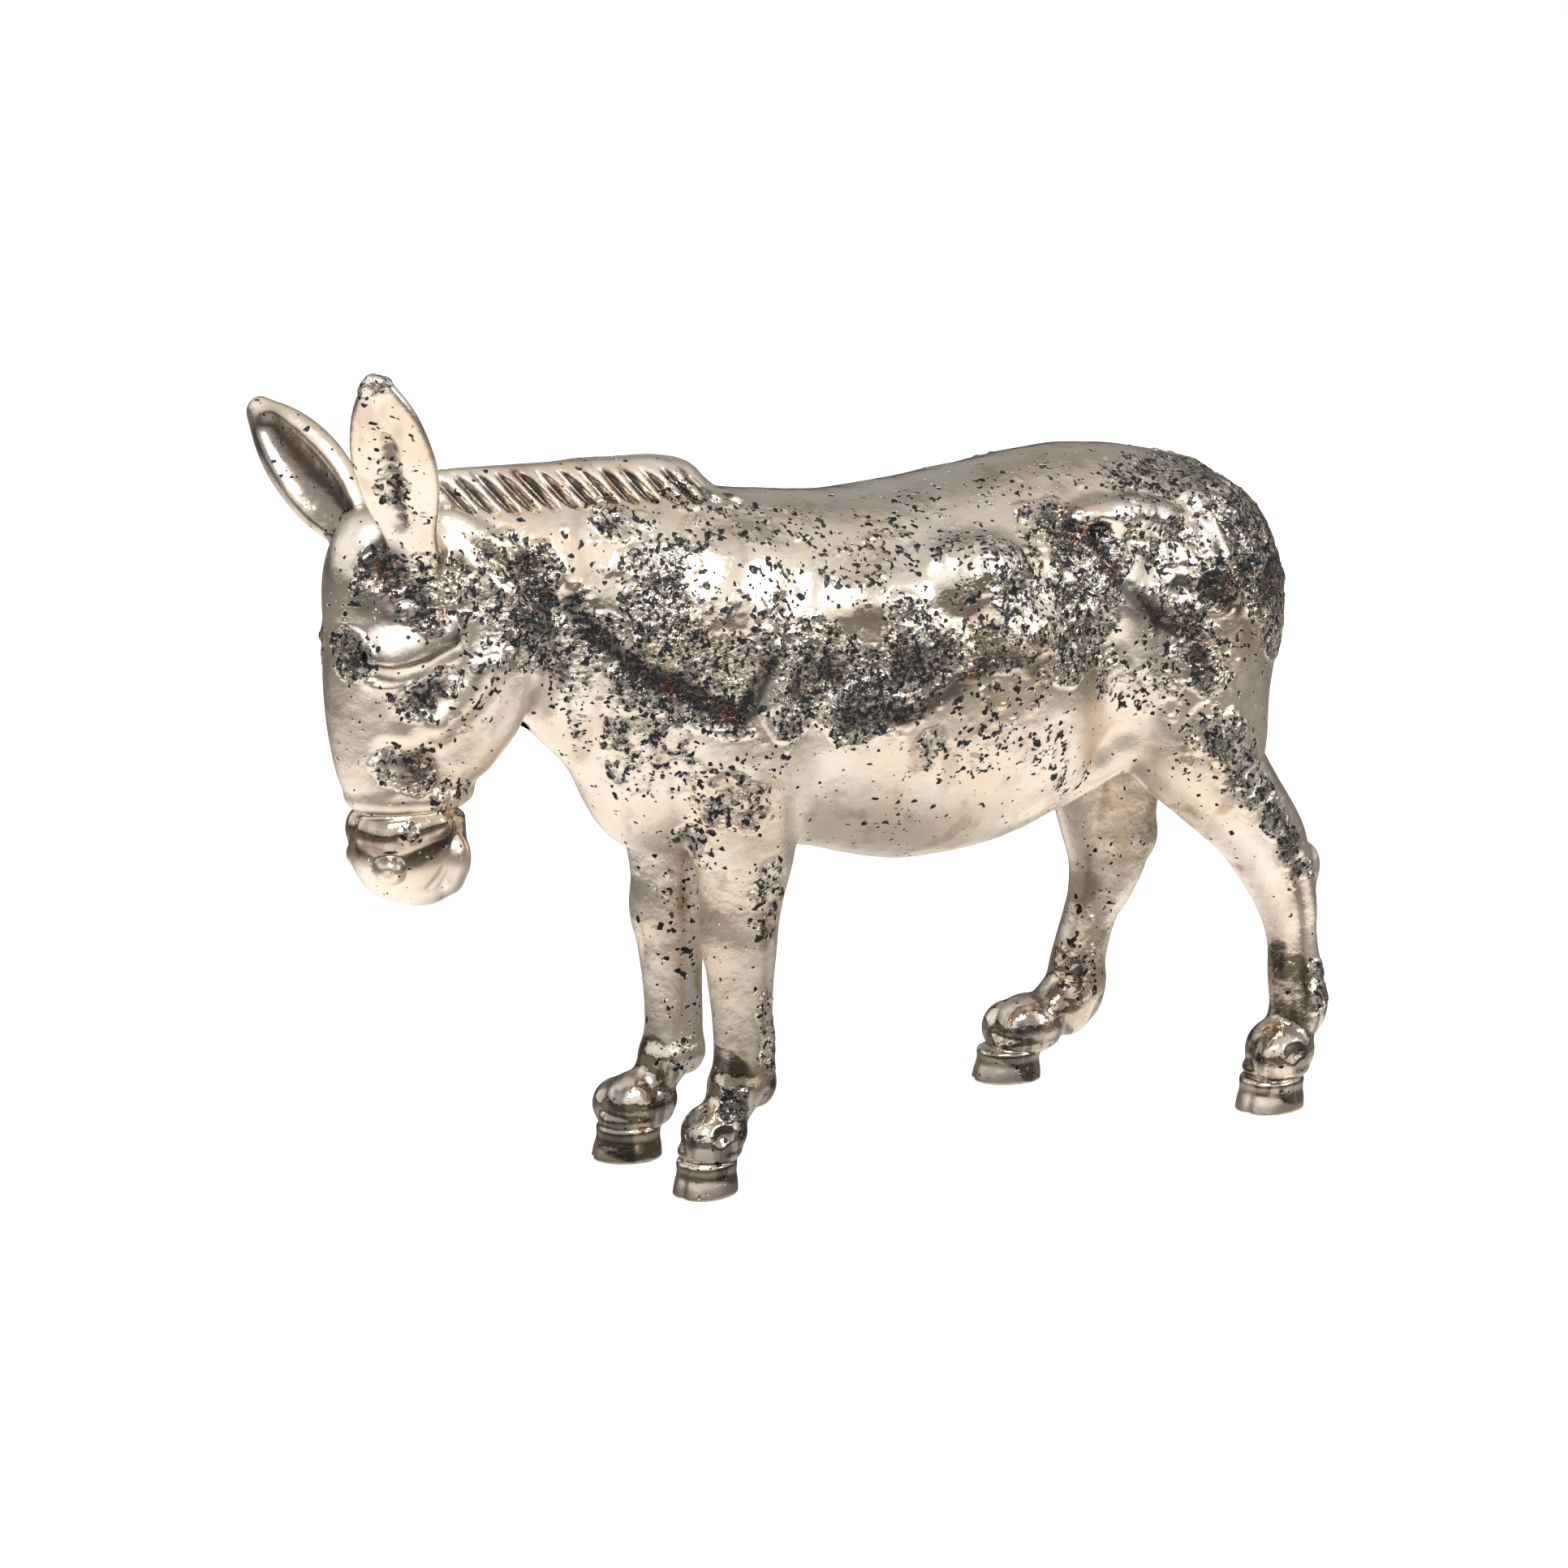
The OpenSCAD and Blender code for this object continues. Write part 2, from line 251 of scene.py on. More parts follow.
def sculpt_folds(form):
    """Muscles, hollows and creases of the skin, the same on both sides."""
    # Long crease from the throat over the shoulder to the elbow
    form.cut(row_of([(-97, 20.5, 179), (-90, 22.5, 173), (-83, 25, 164), (-74, 28, 156.5),
                     (-61, 33, 150), (-50, 38, 144.5)], 2.6), k=4, sides=BOTH)
    form.cut(row_of([(-50, 38, 144.5), (-44, 39.5, 150), (-40, 39.5, 159)], 2.3), k=3,
             sides=BOTH)
    # Hollow behind the shoulder and the crease that runs down behind the foreleg
    form.cut([[-22, 43, 154, 9, 5, 7]], k=4, sides=BOTH)
    form.cut(row_of([(-29, 42, 150), (-28, 41, 134), (-27, 37, 116), (-24, 32, 103)],
                    (3.5, 3.5, 4)), k=6, sides=BOTH)
    # Swellings of the ribs
    form.add([[28, 35, 177, 17, 8, 10]], k=8, sides=BOTH)
    form.add([[-3, 33, 171, 15, 9, 9]], k=8, sides=BOTH)
    form.add([[6, 40, 160, 9, 6, 6]], k=5, sides=BOTH)
    form.add([[38, 42, 160, 13, 6, 8]], k=6, sides=BOTH)
    # Hollow of the flank, point of the hip and the crease under it
    form.cut([[59, 44, 188, 6, 7, 9], [63, 49, 172, 8, 7, 12], [66, 51, 158, 8, 7, 9]], k=6,
             sides=BOTH)
    form.add([[76, 33, 190, 14, 6, 5.5], [90, 32, 188, 10, 5, 5]], k=5, sides=BOTH)
    form.cut(row_of([(70, 37, 186), (71, 42, 178), (76, 44, 172), (80, 45, 167),
                     (89, 44.5, 159), (98, 44, 154)], 2.6), k=3, sides=BOTH)
    # Folds over the haunch
    form.add(row_of([(108, 30.5, 192), (110, 34.5, 186), (112, 37.5, 179), (115, 39.5, 171),
                     (117, 40.5, 164)], 2.3), k=2.5, sides=BOTH)
    form.cut(row_of([(113, 34, 189), (116.5, 39, 180), (119.5, 41, 170), (121, 42, 161)],
                    2.6), k=2.5, sides=BOTH)
    form.cut(row_of([(96, 41, 168.5), (102, 42.5, 167), (107, 43.5, 163.5),
                     (114, 44, 161.5)], 1.9), k=2, sides=BOTH)
    form.cut([[90, 42, 176, 6, 4, 4]], k=4, sides=BOTH)
    form.cut([[82, 39, 184, 4, 3, 3]], k=3, sides=BOTH)
    form.cut(row_of([(98, 43, 161), (101, 44, 156), (101, 44.5, 148), (104, 46, 139),
                     (108, 47, 130)], 1.7), k=2.5, sides=BOTH)
    form.cut(row_of([(114, 46.5, 135), (107, 47, 126)], 1.3), k=1.5, sides=BOTH)
    # Fold between the belly and the thigh
    form.cut(row_of([(70, 48.5, 152), (72, 48, 140), (75, 44.5, 130), (78, 37, 119)], 5.5), k=12,
             sides=BOTH)
    form.add(row_of([(84, 27, 119), (78, 22, 112), (72, 13, 107)], (4, 4, 3)), k=9,
             sides=BOTH)
    # Middle line of the belly
    form.cut(row_of([(84, 0, 108), (60, 0, 92.5), (40, 0, 87.5), (15, 0, 86)], 1.2), k=2)


# ---- The legs and hooves ---------------------------------------------------------------

HOOF_TOP = 10.5
HOOVES = {
    "front_left": ((-51, -20), LEFT, 9.7, 8.6),
    "front_right": ((-56, 20), RIGHT, 10.2, 8.8),
    "rear_left": ((139.4, -33), LEFT, 11.2, 9.6),
    "rear_right": ((84, 31), RIGHT, 10.6, 8.6),
}
TOE_OUT = math.radians(18)


def turned(points, x, y, angle):
    """Points seen from a frame at (x, y) that is turned about Z."""
    dx, dy = points[:, 0] - x, points[:, 1] - y
    c, s = math.cos(angle), math.sin(angle)
    return np.stack([dx * c + dy * s, dy * c - dx * s, points[:, 2]], 1)


def hoof_shape(centre, side, half_length, half_width):
    """Distance to a hoof: flared at the toe, with a rounded rim and a flat sole."""

    def distance(points):
        p = turned(points, *centre, -side * TOE_OUT)
        low = 1 - np.clip(p[:, 2] / HOOF_TOP, 0, 1)
        toe = np.clip(-p[:, 0] / half_length, 0, 1)
        flare = 1 + (0.02 + 0.13 * toe) * low**1.5
        heel = np.where(p[:, 0] > 0, 0.92, 1.0)
        ring = np.hypot(p[:, 0] / (half_length * heel), p[:, 1] / half_width) / flare
        wall = (ring - 1) * half_width
        notch = 0.6 * np.exp(-((p[:, 1] / 1.4) ** 2)) * (p[:, 0] < 0)
        waist = 0.35 * np.exp(-(((p[:, 2] - 6.4) / 2.2) ** 2))
        top = p[:, 2] - HOOF_TOP
        rim = smooth_cut(wall + notch + waist, -top, 1.6)
        return smooth_cut(rim, p[:, 2], 0.7)

    return distance


# Pastern balls: centre, side, and radii. Each has a lobe on either side of the toe.
BALLS = [
    ((-48.7, -20, 18), LEFT, (9.8, 9.3, 8.4)),
    ((-52.5, 20, 17), RIGHT, (11.6, 9.6, 9)),
    ((142.3, -32.6, 18.2), LEFT, (10.8, 10.3, 9.8)),
    ((90.5, 30.7, 17), RIGHT, (12, 9.8, 9.6)),
]


def sculpt_feet(form):
    c, s = math.cos(TOE_OUT), math.sin(TOE_OUT)
    for side in BOTH:
        form.add(moved(PASTERN, FORELEG_DX[side]), k=2.5, sides=(side,))
        form.add([[-35.5 + FORELEG_DX[side], 19.3, 31, 4.4, 6.6, 7.5]], k=2.5, sides=(side,))
    form.add([[152.6, 32, 31, 4.6, 6.8, 8.5]], k=2.5, sides=(LEFT,))
    form.add([[109, 30, 25, 7, 8, 10], [104, 30, 19.5, 8, 7.8, 8]], k=3, sides=(RIGHT,))
    for (x, y, z), side, (rx, ry, rz) in BALLS:
        form.add([[x, y, z, rx, ry, rz]], k=1.4)
        for way in BOTH:
            lobe_x = x - 0.36 * rx * c - way * 0.34 * ry * s * side
            lobe_y = y + 0.36 * rx * s * side + way * 0.34 * ry * c
            form.add([[lobe_x, lobe_y, z - 1.2, rx * 0.7, ry * 0.66, rz * 0.86]], k=0.8)
        form.add([[x - 1.5, y, 12.6, rx * 0.98, ry * 0.94, 4.2]], k=1.2)
        # Flat facet on the outside of the ball
        form.cut([[x - 0.1 * rx, side * (abs(y) + ry + 3.4), z + 3, 6.5, 4.6, 6.5]], k=0.5)
    # Rounded coronets of the two far hooves, whose toes stand out in front of the balls
    form.add([[-58, 20.3, 10.6, 7, 7.4, 4.4]], k=1.2)
    form.add([[84.5, 31, 10.6, 8.2, 7.4, 4.6]], k=1.2)
    for centre, side, half_length, half_width in HOOVES.values():
        low = (centre[0] - 15, centre[1] - 12, 0)
        high = (centre[0] + 15, centre[1] + 12, HOOF_TOP)
        form.add_shape(hoof_shape(centre, side, half_length, half_width), low, high, k=0.35)


def sculpt_leg_details(form):
    """Tendons and hollows of the knees, hocks and cannons."""
    for side in BOTH:
        dx = FORELEG_DX[side]
        form.cut(row_of([(-35 + dx, 29.5, 70), (-36 + dx, 28, 54), (-36.5 + dx, 27.5, 42)],
                        (1.8, 1.6, 3)), k=3, sides=(side,))
        form.add([[-47.6 + dx, 19, 76, 4, 6, 8]], k=5, sides=(side,))
        form.cut(row_of([(-37 + dx, 28, 29), (-40 + dx, 29, 26)], 1.4), k=1.5, sides=(side,))
    form.cut(row_of([(141, 41.5, 78), (145, 40.5, 66), (147.5, 39.5, 52), (149, 40, 42)],
                    (1.6, 1.6, 3)), k=3, sides=(LEFT,))
    form.add([[150.5, 32, 76, 3.6, 5, 6]], k=4, sides=(LEFT,))
    form.add([[131, 30, 74, 4.5, 5.5, 7]], k=4, sides=(RIGHT,))
    form.cut(row_of([(121, 39.5, 66), (116, 38.5, 52), (112, 38, 42)], (1.6, 1.6, 3)), k=3,
             sides=(RIGHT,))


# ---- The head --------------------------------------------------------------------------

HEAD = [
    [-129, 0, 194, 22.5, 15.5, 12],
    [-128, 0, 181, 28.5, 18, 14],
    [-127.5, 0, 167, 30, 18.5, 13],
    [-130, 0, 150, 28, 15.5, 13],
    [-132.5, 0, 136, 23.5, 14, 12],
    [-134, 0, 126, 18.8, 13.5, 7],
]
CHEEK = [
    [-116, 10, 180, 15, 8, 13],
    [-113, 11, 166, 15, 8.5, 14],
    [-116, 9.5, 150, 15, 8, 12],
    [-122.5, 8, 137, 12.5, 7, 9],
]
MUZZLE = [
    [-134, 0, 117, 16.4, 13.4, 5],
    [-134.5, 0, 112, 17, 14, 8],
    [-134.5, 0, 107.5, 17, 14.4, 10],
    [-134.5, 0, 105, 15.5, 13.5, 12],
]
LIP_RIM_Z = 121.0


def ring_of(centre, radii, z, size, count=20):
    """Small eggs in a level ring."""
    angles = np.linspace(0, 2 * math.pi, count + 1)
    return [[centre + radii[0] * math.cos(a), radii[1] * math.sin(a), z] + [size] * 3
            for a in angles]


def sculpt_head(form):
    form.add(HEAD, k=3)
    form.add(CHEEK, k=3, sides=BOTH)
    form.add([[-144, 0, 199, 6, 8, 6], [-148.5, 0, 189, 6, 8, 10]], k=10)
    # Round hollow below the ear
    form.cut([[-148, 17, 192, 5, 4.6, 6.5], [-144, 19.5, 185, 3.6, 3.6, 3.6]], k=5,
             sides=BOTH)
    # Eye socket, egg-shaped eye and the sharp line of the lower lid
    form.cut([[-152, 13.4, 166, 3.5, 3, 2.6], [-142, 22.4, 164.4, 6, 3.2, 2.2],
              [-130, 24.2, 168.6, 4, 2.8, 2]], k=6, sides=BOTH)
    form.add([[-148.6, 12.0, 166, 3.4, 3.4, 5], [-144, 14.2, 166.2, 5.4, 4.8, 6.6],
              [-138, 15.8, 168, 5, 4.2, 5.6], [-131.5, 17.4, 170.6, 4.5, 3.2, 4.6]], k=5,
             sides=BOTH)
    form.cut([[-151, 14.8, 161.8, 3.4, 3.6, 4.2], [-146, 18.4, 160.8, 4, 4, 4.5],
              [-140, 20.8, 161.8, 4, 4.2, 4.6], [-134, 22, 163.9, 4, 4, 4.5],
              [-128, 22.5, 166.9, 4, 3.8, 4.1]], k=0.6, sides=BOTH)
    form.cut([[-151.2, 12.2, 167.2, 1.5, 1.6, 1.8]], k=0.8, sides=BOTH)
    # Pitted hollows of the cheek and above the nose
    form.cut([[-143, 17.6, 149, 5, 3.4, 4.4], [-136, 19.8, 154.5, 5, 3.4, 4],
              [-128, 21.6, 160, 4.5, 3, 3]], k=2.5, sides=BOTH)
    form.add(row_of([(-132, 16.6, 147), (-124, 17.4, 154), (-118, 18, 162)], 3), k=8,
             sides=BOTH)
    form.cut([[-146.5, 13.5, 138.5, 4.5, 3.2, 4.5], [-137, 17.2, 136, 6, 3.2, 4.2],
              [-130, 18, 133, 4, 3, 3]], k=2.5, sides=BOTH)
    # Back edge of the cheek, and the dark crease behind it
    form.add(row_of([(-123, 13, 193), (-112, 16.8, 183), (-101.5, 18, 172)], 2.3), k=3,
             sides=BOTH)
    form.cut(row_of([(-117, 17, 195), (-106, 19.4, 186), (-96.5, 21.3, 176)], 2.2), k=2,
             sides=BOTH)
    form.cut(row_of([(-96.5, 21.5, 176), (-97, 20.5, 163), (-99, 17.5, 150),
                     (-101, 11, 141), (-101, 0, 137)], 2.6), k=3, sides=BOTH)
    # Rolled fold behind the ear
    form.add(row_of([(-124, 8.5, 201), (-116, 11, 196), (-108, 13.5, 190)], 4.2), k=2,
             sides=BOTH)
    # Rolled rim of the lip above the muzzle
    form.add(ring_of(-133.6, (15.2, 11.0), LIP_RIM_Z + 3, 3), k=3.0)


def sculpt_muzzle(form):
    form.add(MUZZLE, k=1.2)
    form.cut(ring_of(-134.3, (18.6, 15.4), LIP_RIM_Z - 0.4, 1.3), k=0.8)
    # Lower lip, set back behind the mouth
    form.add([[-125.5, 7, 107, 6.4, 6.6, 9], [-127, 6.4, 101.5, 6.4, 6, 6]], k=0.7,
             sides=BOTH)
    form.add([[-133, 5.5, 98.6, 9, 6.2, 5.4]], k=1.0, sides=BOTH)
    # Raised band over the nose, with its lobed lower edge
    form.add([[-148, 3.4, 115.4, 3.8, 3.6, 5.6], [-144.6, 8.4, 115, 4.6, 4.4, 6],
              [-138.6, 11.4, 116, 5, 3.4, 5.4], [-131, 12, 117.6, 4, 2.8, 3.8]], k=0.8,
             sides=BOTH)
    form.cut(row_of([(-153, 0, 117), (-153.2, 0, 112)], 1.0), k=2)
    # Nostril: a raised round disc with a dent in it and a notch beside it
    form.add([[-144.2, 9.2, 106.2, 4.8, 5.4, 4.8]], k=0.35, sides=BOTH)
    form.cut([[-148, 14.8, 105.2, 2, 1.7, 1.8]], k=1.4, sides=BOTH)
    form.cut([[-149.6, 11.8, 101.2, 1.8, 1.8, 1.2]], k=1.0, sides=BOTH)
    # Side of the mouth
    form.cut(row_of([(-127, 15, 116), (-128.5, 15.4, 110), (-130.5, 14.6, 104),
                     (-134, 13.4, 99.5)], 1.2), k=0.9, sides=BOTH)


# ---- The ears --------------------------------------------------------------------------


def turn_matrix(rx, ry, twist):
    """The CAD's turn: a twist about the ear's own length, then about X, then about Y."""
    turn = Matrix.Rotation(math.radians(ry), 3, "Y") @ Matrix.Rotation(math.radians(rx), 3, "X")
    return np.array(turn @ Matrix.Rotation(math.radians(twist), 3, "Z"))


EAR_LEAF = [
    [1, 0, 0, 7, 7, 7],
    [0.5, 0, 9, 6.2, 7.8, 7],
    [0, 0, 20, 5.6, 10.8, 8],
    [0, 0, 32, 5.2, 11.8, 8],
    [0, 0, 44, 4.4, 9.5, 7],
    [0, 0, 54, 3, 4.8, 4.4],
]
EARS = {
    "ear_left": {
        "side": LEFT,
        "root": (-137.5, -15.3, 194),
        "turn": turn_matrix(18, -19, 46),
        "hollow": [[-5.2, 1.4, 14, 4.0, 3.0, 5], [-5.2, 0.8, 25, 4.5, 3.6, 8],
                   [-4.6, -0.2, 37, 3.8, 2.8, 6]],
        "flat": 6.2,
    },
    "ear_right": {
        "side": RIGHT,
        "root": (-138.5, 9, 192),
        "turn": turn_matrix(-43, -27, 45),
        "hollow": [[-8.6, -0.5, 12, 6.6, 6, 7], [-8.8, -0.5, 24, 8.2, 9.4, 9],
                   [-7.6, -0.5, 38, 6.6, 8, 8], [-5.6, -0.5, 47, 4.2, 4.8, 5]],
        "flat": 0,
    },
}


def in_ear_frame(points, ear):
    return (points - np.array(ear["root"])) @ ear["turn"]


def ear_shape(ear):
    leaf, hollow = curve_through(EAR_LEAF), curve_through(ear["hollow"])

    def distance(points):
        p = in_ear_frame(points, ear)
        d = limb_distance(p, leaf)
        if ear["flat"]:
            front = -p[:, 0] - ear["flat"] + 3.6 + 0.0006 * (p[:, 2] - 26) ** 2
            d = smooth_cut(d, -front, 1.4)
        return smooth_cut(d, limb_distance(p, hollow), 1.6)

    return distance


EAR_TIP = 57.0
EAR_REACH = 13


def sculpt_ears(form):
    for ear in EARS.values():
        root = np.array(ear["root"], float)
        tip = root + ear["turn"] @ np.array([0, 0, EAR_TIP])
        low = np.minimum(root, tip) - EAR_REACH
        high = np.maximum(root, tip) + EAR_REACH
        form.add_shape(ear_shape(ear), low, high, k=3.2)
    # Bright ridge that runs from the right ear down between the ears
    form.add(row_of([(-147, 4, 201), (-148, -4, 199), (-149.5, -6, 194)], 2.4), k=2.4)


# ---- The mane and the tail -------------------------------------------------------------

MANE = [[-122, 0, 201, 6, 5, 13.6], [-98, 0, 200.8, 6, 7, 13.8],
        [-70, 0, 200.2, 6, 8, 14], [-51, 0, 200, 7, 8.6, 13],
        [-44, 0, 198.5, 5.5, 7, 9]]
MANE_GROOVES = 14
GROOVE_RUN, GROOVE_DROP = 12.5, 15


def mane_grooves():
    """Where each groove of the mane starts: x, half width of the mane, and height."""
    shares = [i / (MANE_GROOVES - 1) for i in range(MANE_GROOVES)]
    return [(-126 + 79 * share, 4.6 + 3.2 * share, 214 - 0.6 * share) for share in shares]


def sculpt_mane(form):
    form.add(MANE, k=3.5)
    for x, half_w, top in mane_grooves():
        form.cut([[x, half_w - 1.2, top, 1.2, 1.5, 1.2],
                  [x + GROOVE_RUN * 0.33, half_w + 1.0, top - GROOVE_DROP * 0.33, 1.6, 2.4, 1.6],
                  [x + GROOVE_RUN * 0.66, half_w + 2.4, top - GROOVE_DROP * 0.66, 1.5, 2.3, 1.6],
                  [x + GROOVE_RUN, half_w + 3.2, top - GROOVE_DROP, 0.7, 0.9, 0.8]],
                 k=0.7, sides=BOTH)


TAIL = [
    [134, 0, 186, 7, 5, 6],
    [142, 0, 176, 5, 4.6, 6],
    [146, 0, 160, 4.5, 4.6, 8],
    [147, 0, 140, 4.5, 5, 8],
    [146, 0, 118, 5.5, 6.5, 9],
    [145, 0, 98, 5.5, 6.5, 9],
    [144, 0, 84, 3.6, 4.2, 7],
    [143.5, 0, 76, 2, 2, 4],
]


def sculpt_tail(form):
    form.add(TAIL, k=2.5)
    # Locks of the tuft
    for y, lean in ((-4.2, 1.5), (-1.4, 0.6), (1.4, -0.6), (4.2, -1.5)):
        form.cut(row_of([(151, y, 126), (151.8, y * 1.2 + lean, 108), (149.6, y * 0.8, 90),
                         (146.5, y * 0.3, 80)], 1.1), k=1.4)


def sculpt():
    """The whole figure as one form."""
    form = Form()
    sculpt_body(form)
    sculpt_head(form)
    sculpt_folds(form)
    sculpt_muzzle(form)
    sculpt_ears(form)
    sculpt_mane(form)
    sculpt_tail(form)
    sculpt_feet(form)
    sculpt_leg_details(form)
    return form


# ---- Noise -----------------------------------------------------------------------------


def hashed(i, j, k, seed):
    """A repeatable number from 0 to 1 for each whole-numbered cell."""
    with np.errstate(over="ignore"):
        n = (i.astype(np.uint32) * np.uint32(374761393) + j.astype(np.uint32) * np.uint32(668265263)
             + k.astype(np.uint32) * np.uint32(2246822519) + np.uint32(seed * 3266489917 % 2**32))
        n = (n ^ (n >> np.uint32(13))) * np.uint32(1274126177)
        n = (n ^ (n >> np.uint32(16))) * np.uint32(2654435761)
    return (n ^ (n >> np.uint32(15))).astype(np.float64) / 2**32


def noise(points, size, seed=0):
    """Smooth noise from -1 to 1 with lumps of the given size."""
    p = points / size
    cell = np.floor(p).astype(np.int64)
    f = p - cell
    f = f * f * f * (f * (f * 6 - 15) + 10)
    total = np.zeros(len(p))
    for corner in range(8):
        step = [(corner >> axis) & 1 for axis in range(3)]
        weight = np.ones(len(p))
        for axis in range(3):
            weight *= f[:, axis] if step[axis] else 1 - f[:, axis]
        total += weight * hashed(*(cell[:, a] + step[a] for a in range(3)), seed)
    return total * 2 - 1


def layered(points, size, layers, seed=0):
    """Noise with finer and fainter layers."""
    made = np.zeros(len(points))
    for layer in range(layers):
        made += noise(points, size / 2**layer, seed + layer) / 2**layer
    return made / (2 - 2.0 ** (1 - layers))


# ---- The rough cast skin ---------------------------------------------------------------
# Each patch is (x, y, z, radius, how heavily it is pitted). Most patches are on both
# sides; the skin between them is smooth.

PATCHES = [
    # Neck and shoulder
    (-103, 17, 187, 8, 0.95), (-103, 18, 175, 9, 1.0), (-98, 19, 166, 9, 0.85),
    (-92, 18, 190, 9, 0.32), (-84, 20, 187, 10, 0.3), (-77, 14, 198, 6, 0.8),
    (-70, 16, 198, 5, 0.6), (-53, 10, 201, 6, 0.75), (-54, 21, 192, 6, 0.7),
    (-45, 18, 196, 8, 0.55), (-34, 20, 193, 9, 0.55), (-20, 20, 193, 8, 0.45),
    (-69, 23, 185, 9, 0.85), (-70, 26, 175, 9, 1.0), (-68, 28, 164, 9, 0.95),
    (-58, 28, 180, 8, 0.45), (-56, 30, 170, 9, 0.55),
    (-92, 20, 172, 7, 0.7), (-85, 22, 168, 6, 0.8),
    (-93, 18, 160, 8, 0.75), (-92, 18, 151, 7, 0.55), (-84, 21, 148, 7, 0.5),
    (-74, 27, 155, 9, 1.0), (-62, 31, 151, 9, 1.0), (-51, 36, 145, 7, 0.95),
    (-53, 35, 158, 10, 0.8), (-38, 37, 165, 10, 0.7), (-37, 34, 180, 9, 0.5),
    (-27, 38, 162, 9, 0.85), (-28, 39, 151, 9, 1.0), (-19, 40, 154, 9, 1.0),
    (-33, 37, 142, 7, 0.8), (-77, 22, 140, 8, 0.7), (-66, 26, 137, 7, 0.65),
    (-86, 16, 142, 7, 0.5), (-75, 20, 128, 8, 0.68), (-62, 27, 126, 7, 0.58),
    (-52, 33, 119, 9, 0.68), (-44, 34, 116, 7, 0.75), (-55, 26, 112, 6, 0.45),
    (-56, 20, 105, 6, 0.7), (-40, 36, 132, 9, 0.3),
    # Back and ribs
    (-10, 32, 182, 11, 0.55), (3, 29, 187, 10, 0.55), (19, 19, 196, 9, 0.45),
    (48, 17, 200, 9, 0.4), (64, 19, 201, 8, 0.4), (26, 36, 180, 11, 0.6),
    (36, 39, 175, 11, 0.65), (44, 40, 173, 10, 0.75), (46, 44, 163, 10, 0.75),
    (2, 41, 166, 9, 0.8), (0, 44, 155, 9, 1.0), (10, 44, 157, 8, 0.9),
    (-10, 43, 151, 10, 1.0), (-14, 42, 143, 9, 1.0), (-4, 44, 146, 9, 0.9),
    (20, 45, 158, 9, 0.75), (30, 45, 158, 8, 0.75), (42, 46, 153, 7, 0.6),
    (17, 46, 147, 7, 0.45), (29, 46, 147, 7, 0.55), (37, 46, 140, 6, 0.5),
    # Belly
    (8, 44, 129, 6, 0.7), (15, 43, 126, 6, 0.5), (27, 45, 130, 9, 0.55),
    (37, 44, 128, 8, 0.5), (47, 43, 127, 8, 0.5), (4, 33, 109, 7, 0.35),
    (58, 37, 116, 6, 0.5), (66, 32, 111, 6, 0.5),
    # Flank, hip and haunch
    (54, 31, 190, 8, 0.8), (60, 36, 183, 8, 0.95), (57, 41, 172, 9, 0.85),
    (63, 43, 168, 9, 1.0), (64, 45, 157, 9, 1.0), (55, 45, 152, 8, 0.75),
    (70, 45, 152, 7, 0.7), (74, 44, 143, 8, 0.6), (84, 40, 139, 9, 0.5),
    (72, 38, 178, 7, 0.9), (82, 34, 187, 9, 0.6), (90, 24, 196, 10, 0.75),
    (100, 20, 197, 11, 0.8), (112, 16, 197, 12, 0.85), (122, 12, 194, 12, 0.9),
    (115, 30, 191, 9, 0.85), (123, 34, 183, 10, 0.95), (128, 36, 172, 10, 0.95),
    (131, 37, 162, 10, 0.9), (132, 38, 151, 9, 0.8), (132, 24, 180, 12, 0.95),
    (138, 24, 166, 12, 0.95), (140, 24, 150, 11, 0.8), (96, 36, 181, 9, 0.6),
    (109, 41, 168, 8, 0.9), (104, 38, 178, 8, 0.6), (93, 42, 166, 8, 0.55),
    (99, 42, 158, 6, 0.9), (102, 43, 150, 7, 0.8), (106, 44, 142, 7, 0.7),
    (114, 44, 146, 8, 0.45), (88, 41, 152, 7, 0.45), (92, 40, 143, 9, 0.6),
    (98, 43, 134, 9, 0.5), (104, 45, 126, 8, 0.65), (112, 45, 122, 8, 0.75),
    (118, 44, 112, 7, 0.75), (125, 43, 103, 6, 0.75), (131, 43, 94, 5.5, 0.8),
    (136, 43, 86, 5, 0.8), (101, 44, 117, 7, 0.5),
    # Head
    (-147, 14, 191, 6, 0.75), (-151, 10, 184, 4, 0.5), (-153, 8, 168, 6.5, 0.8),
    (-135, 18, 178, 6, 0.7), (-140, 17, 183, 5, 0.65),
    (-137, 19, 190, 6, 0.75), (-129, 18, 186, 7, 0.8), (-130, 19, 179, 5, 0.5),
    (-119, 17, 181, 8, 0.65), (-117, 18, 172, 8, 0.6), (-110, 18, 165, 6, 0.7),
    (-104, 18, 167, 7, 0.95), (-119, 18, 161, 6, 0.5), (-138, 17, 153, 5.5, 0.82),
    (-130, 18, 159, 4.5, 0.75), (-145, 13, 137, 5.5, 0.8), (-137, 15, 134, 6, 0.8),
    (-121, 16, 150, 7, 0.35), (-130, 15, 145, 5, 0.45),
    (-127, 13, 126, 6, 0.55), (-112, 15, 192, 7, 0.75), (-140, 13, 117, 4, 0.6),
]
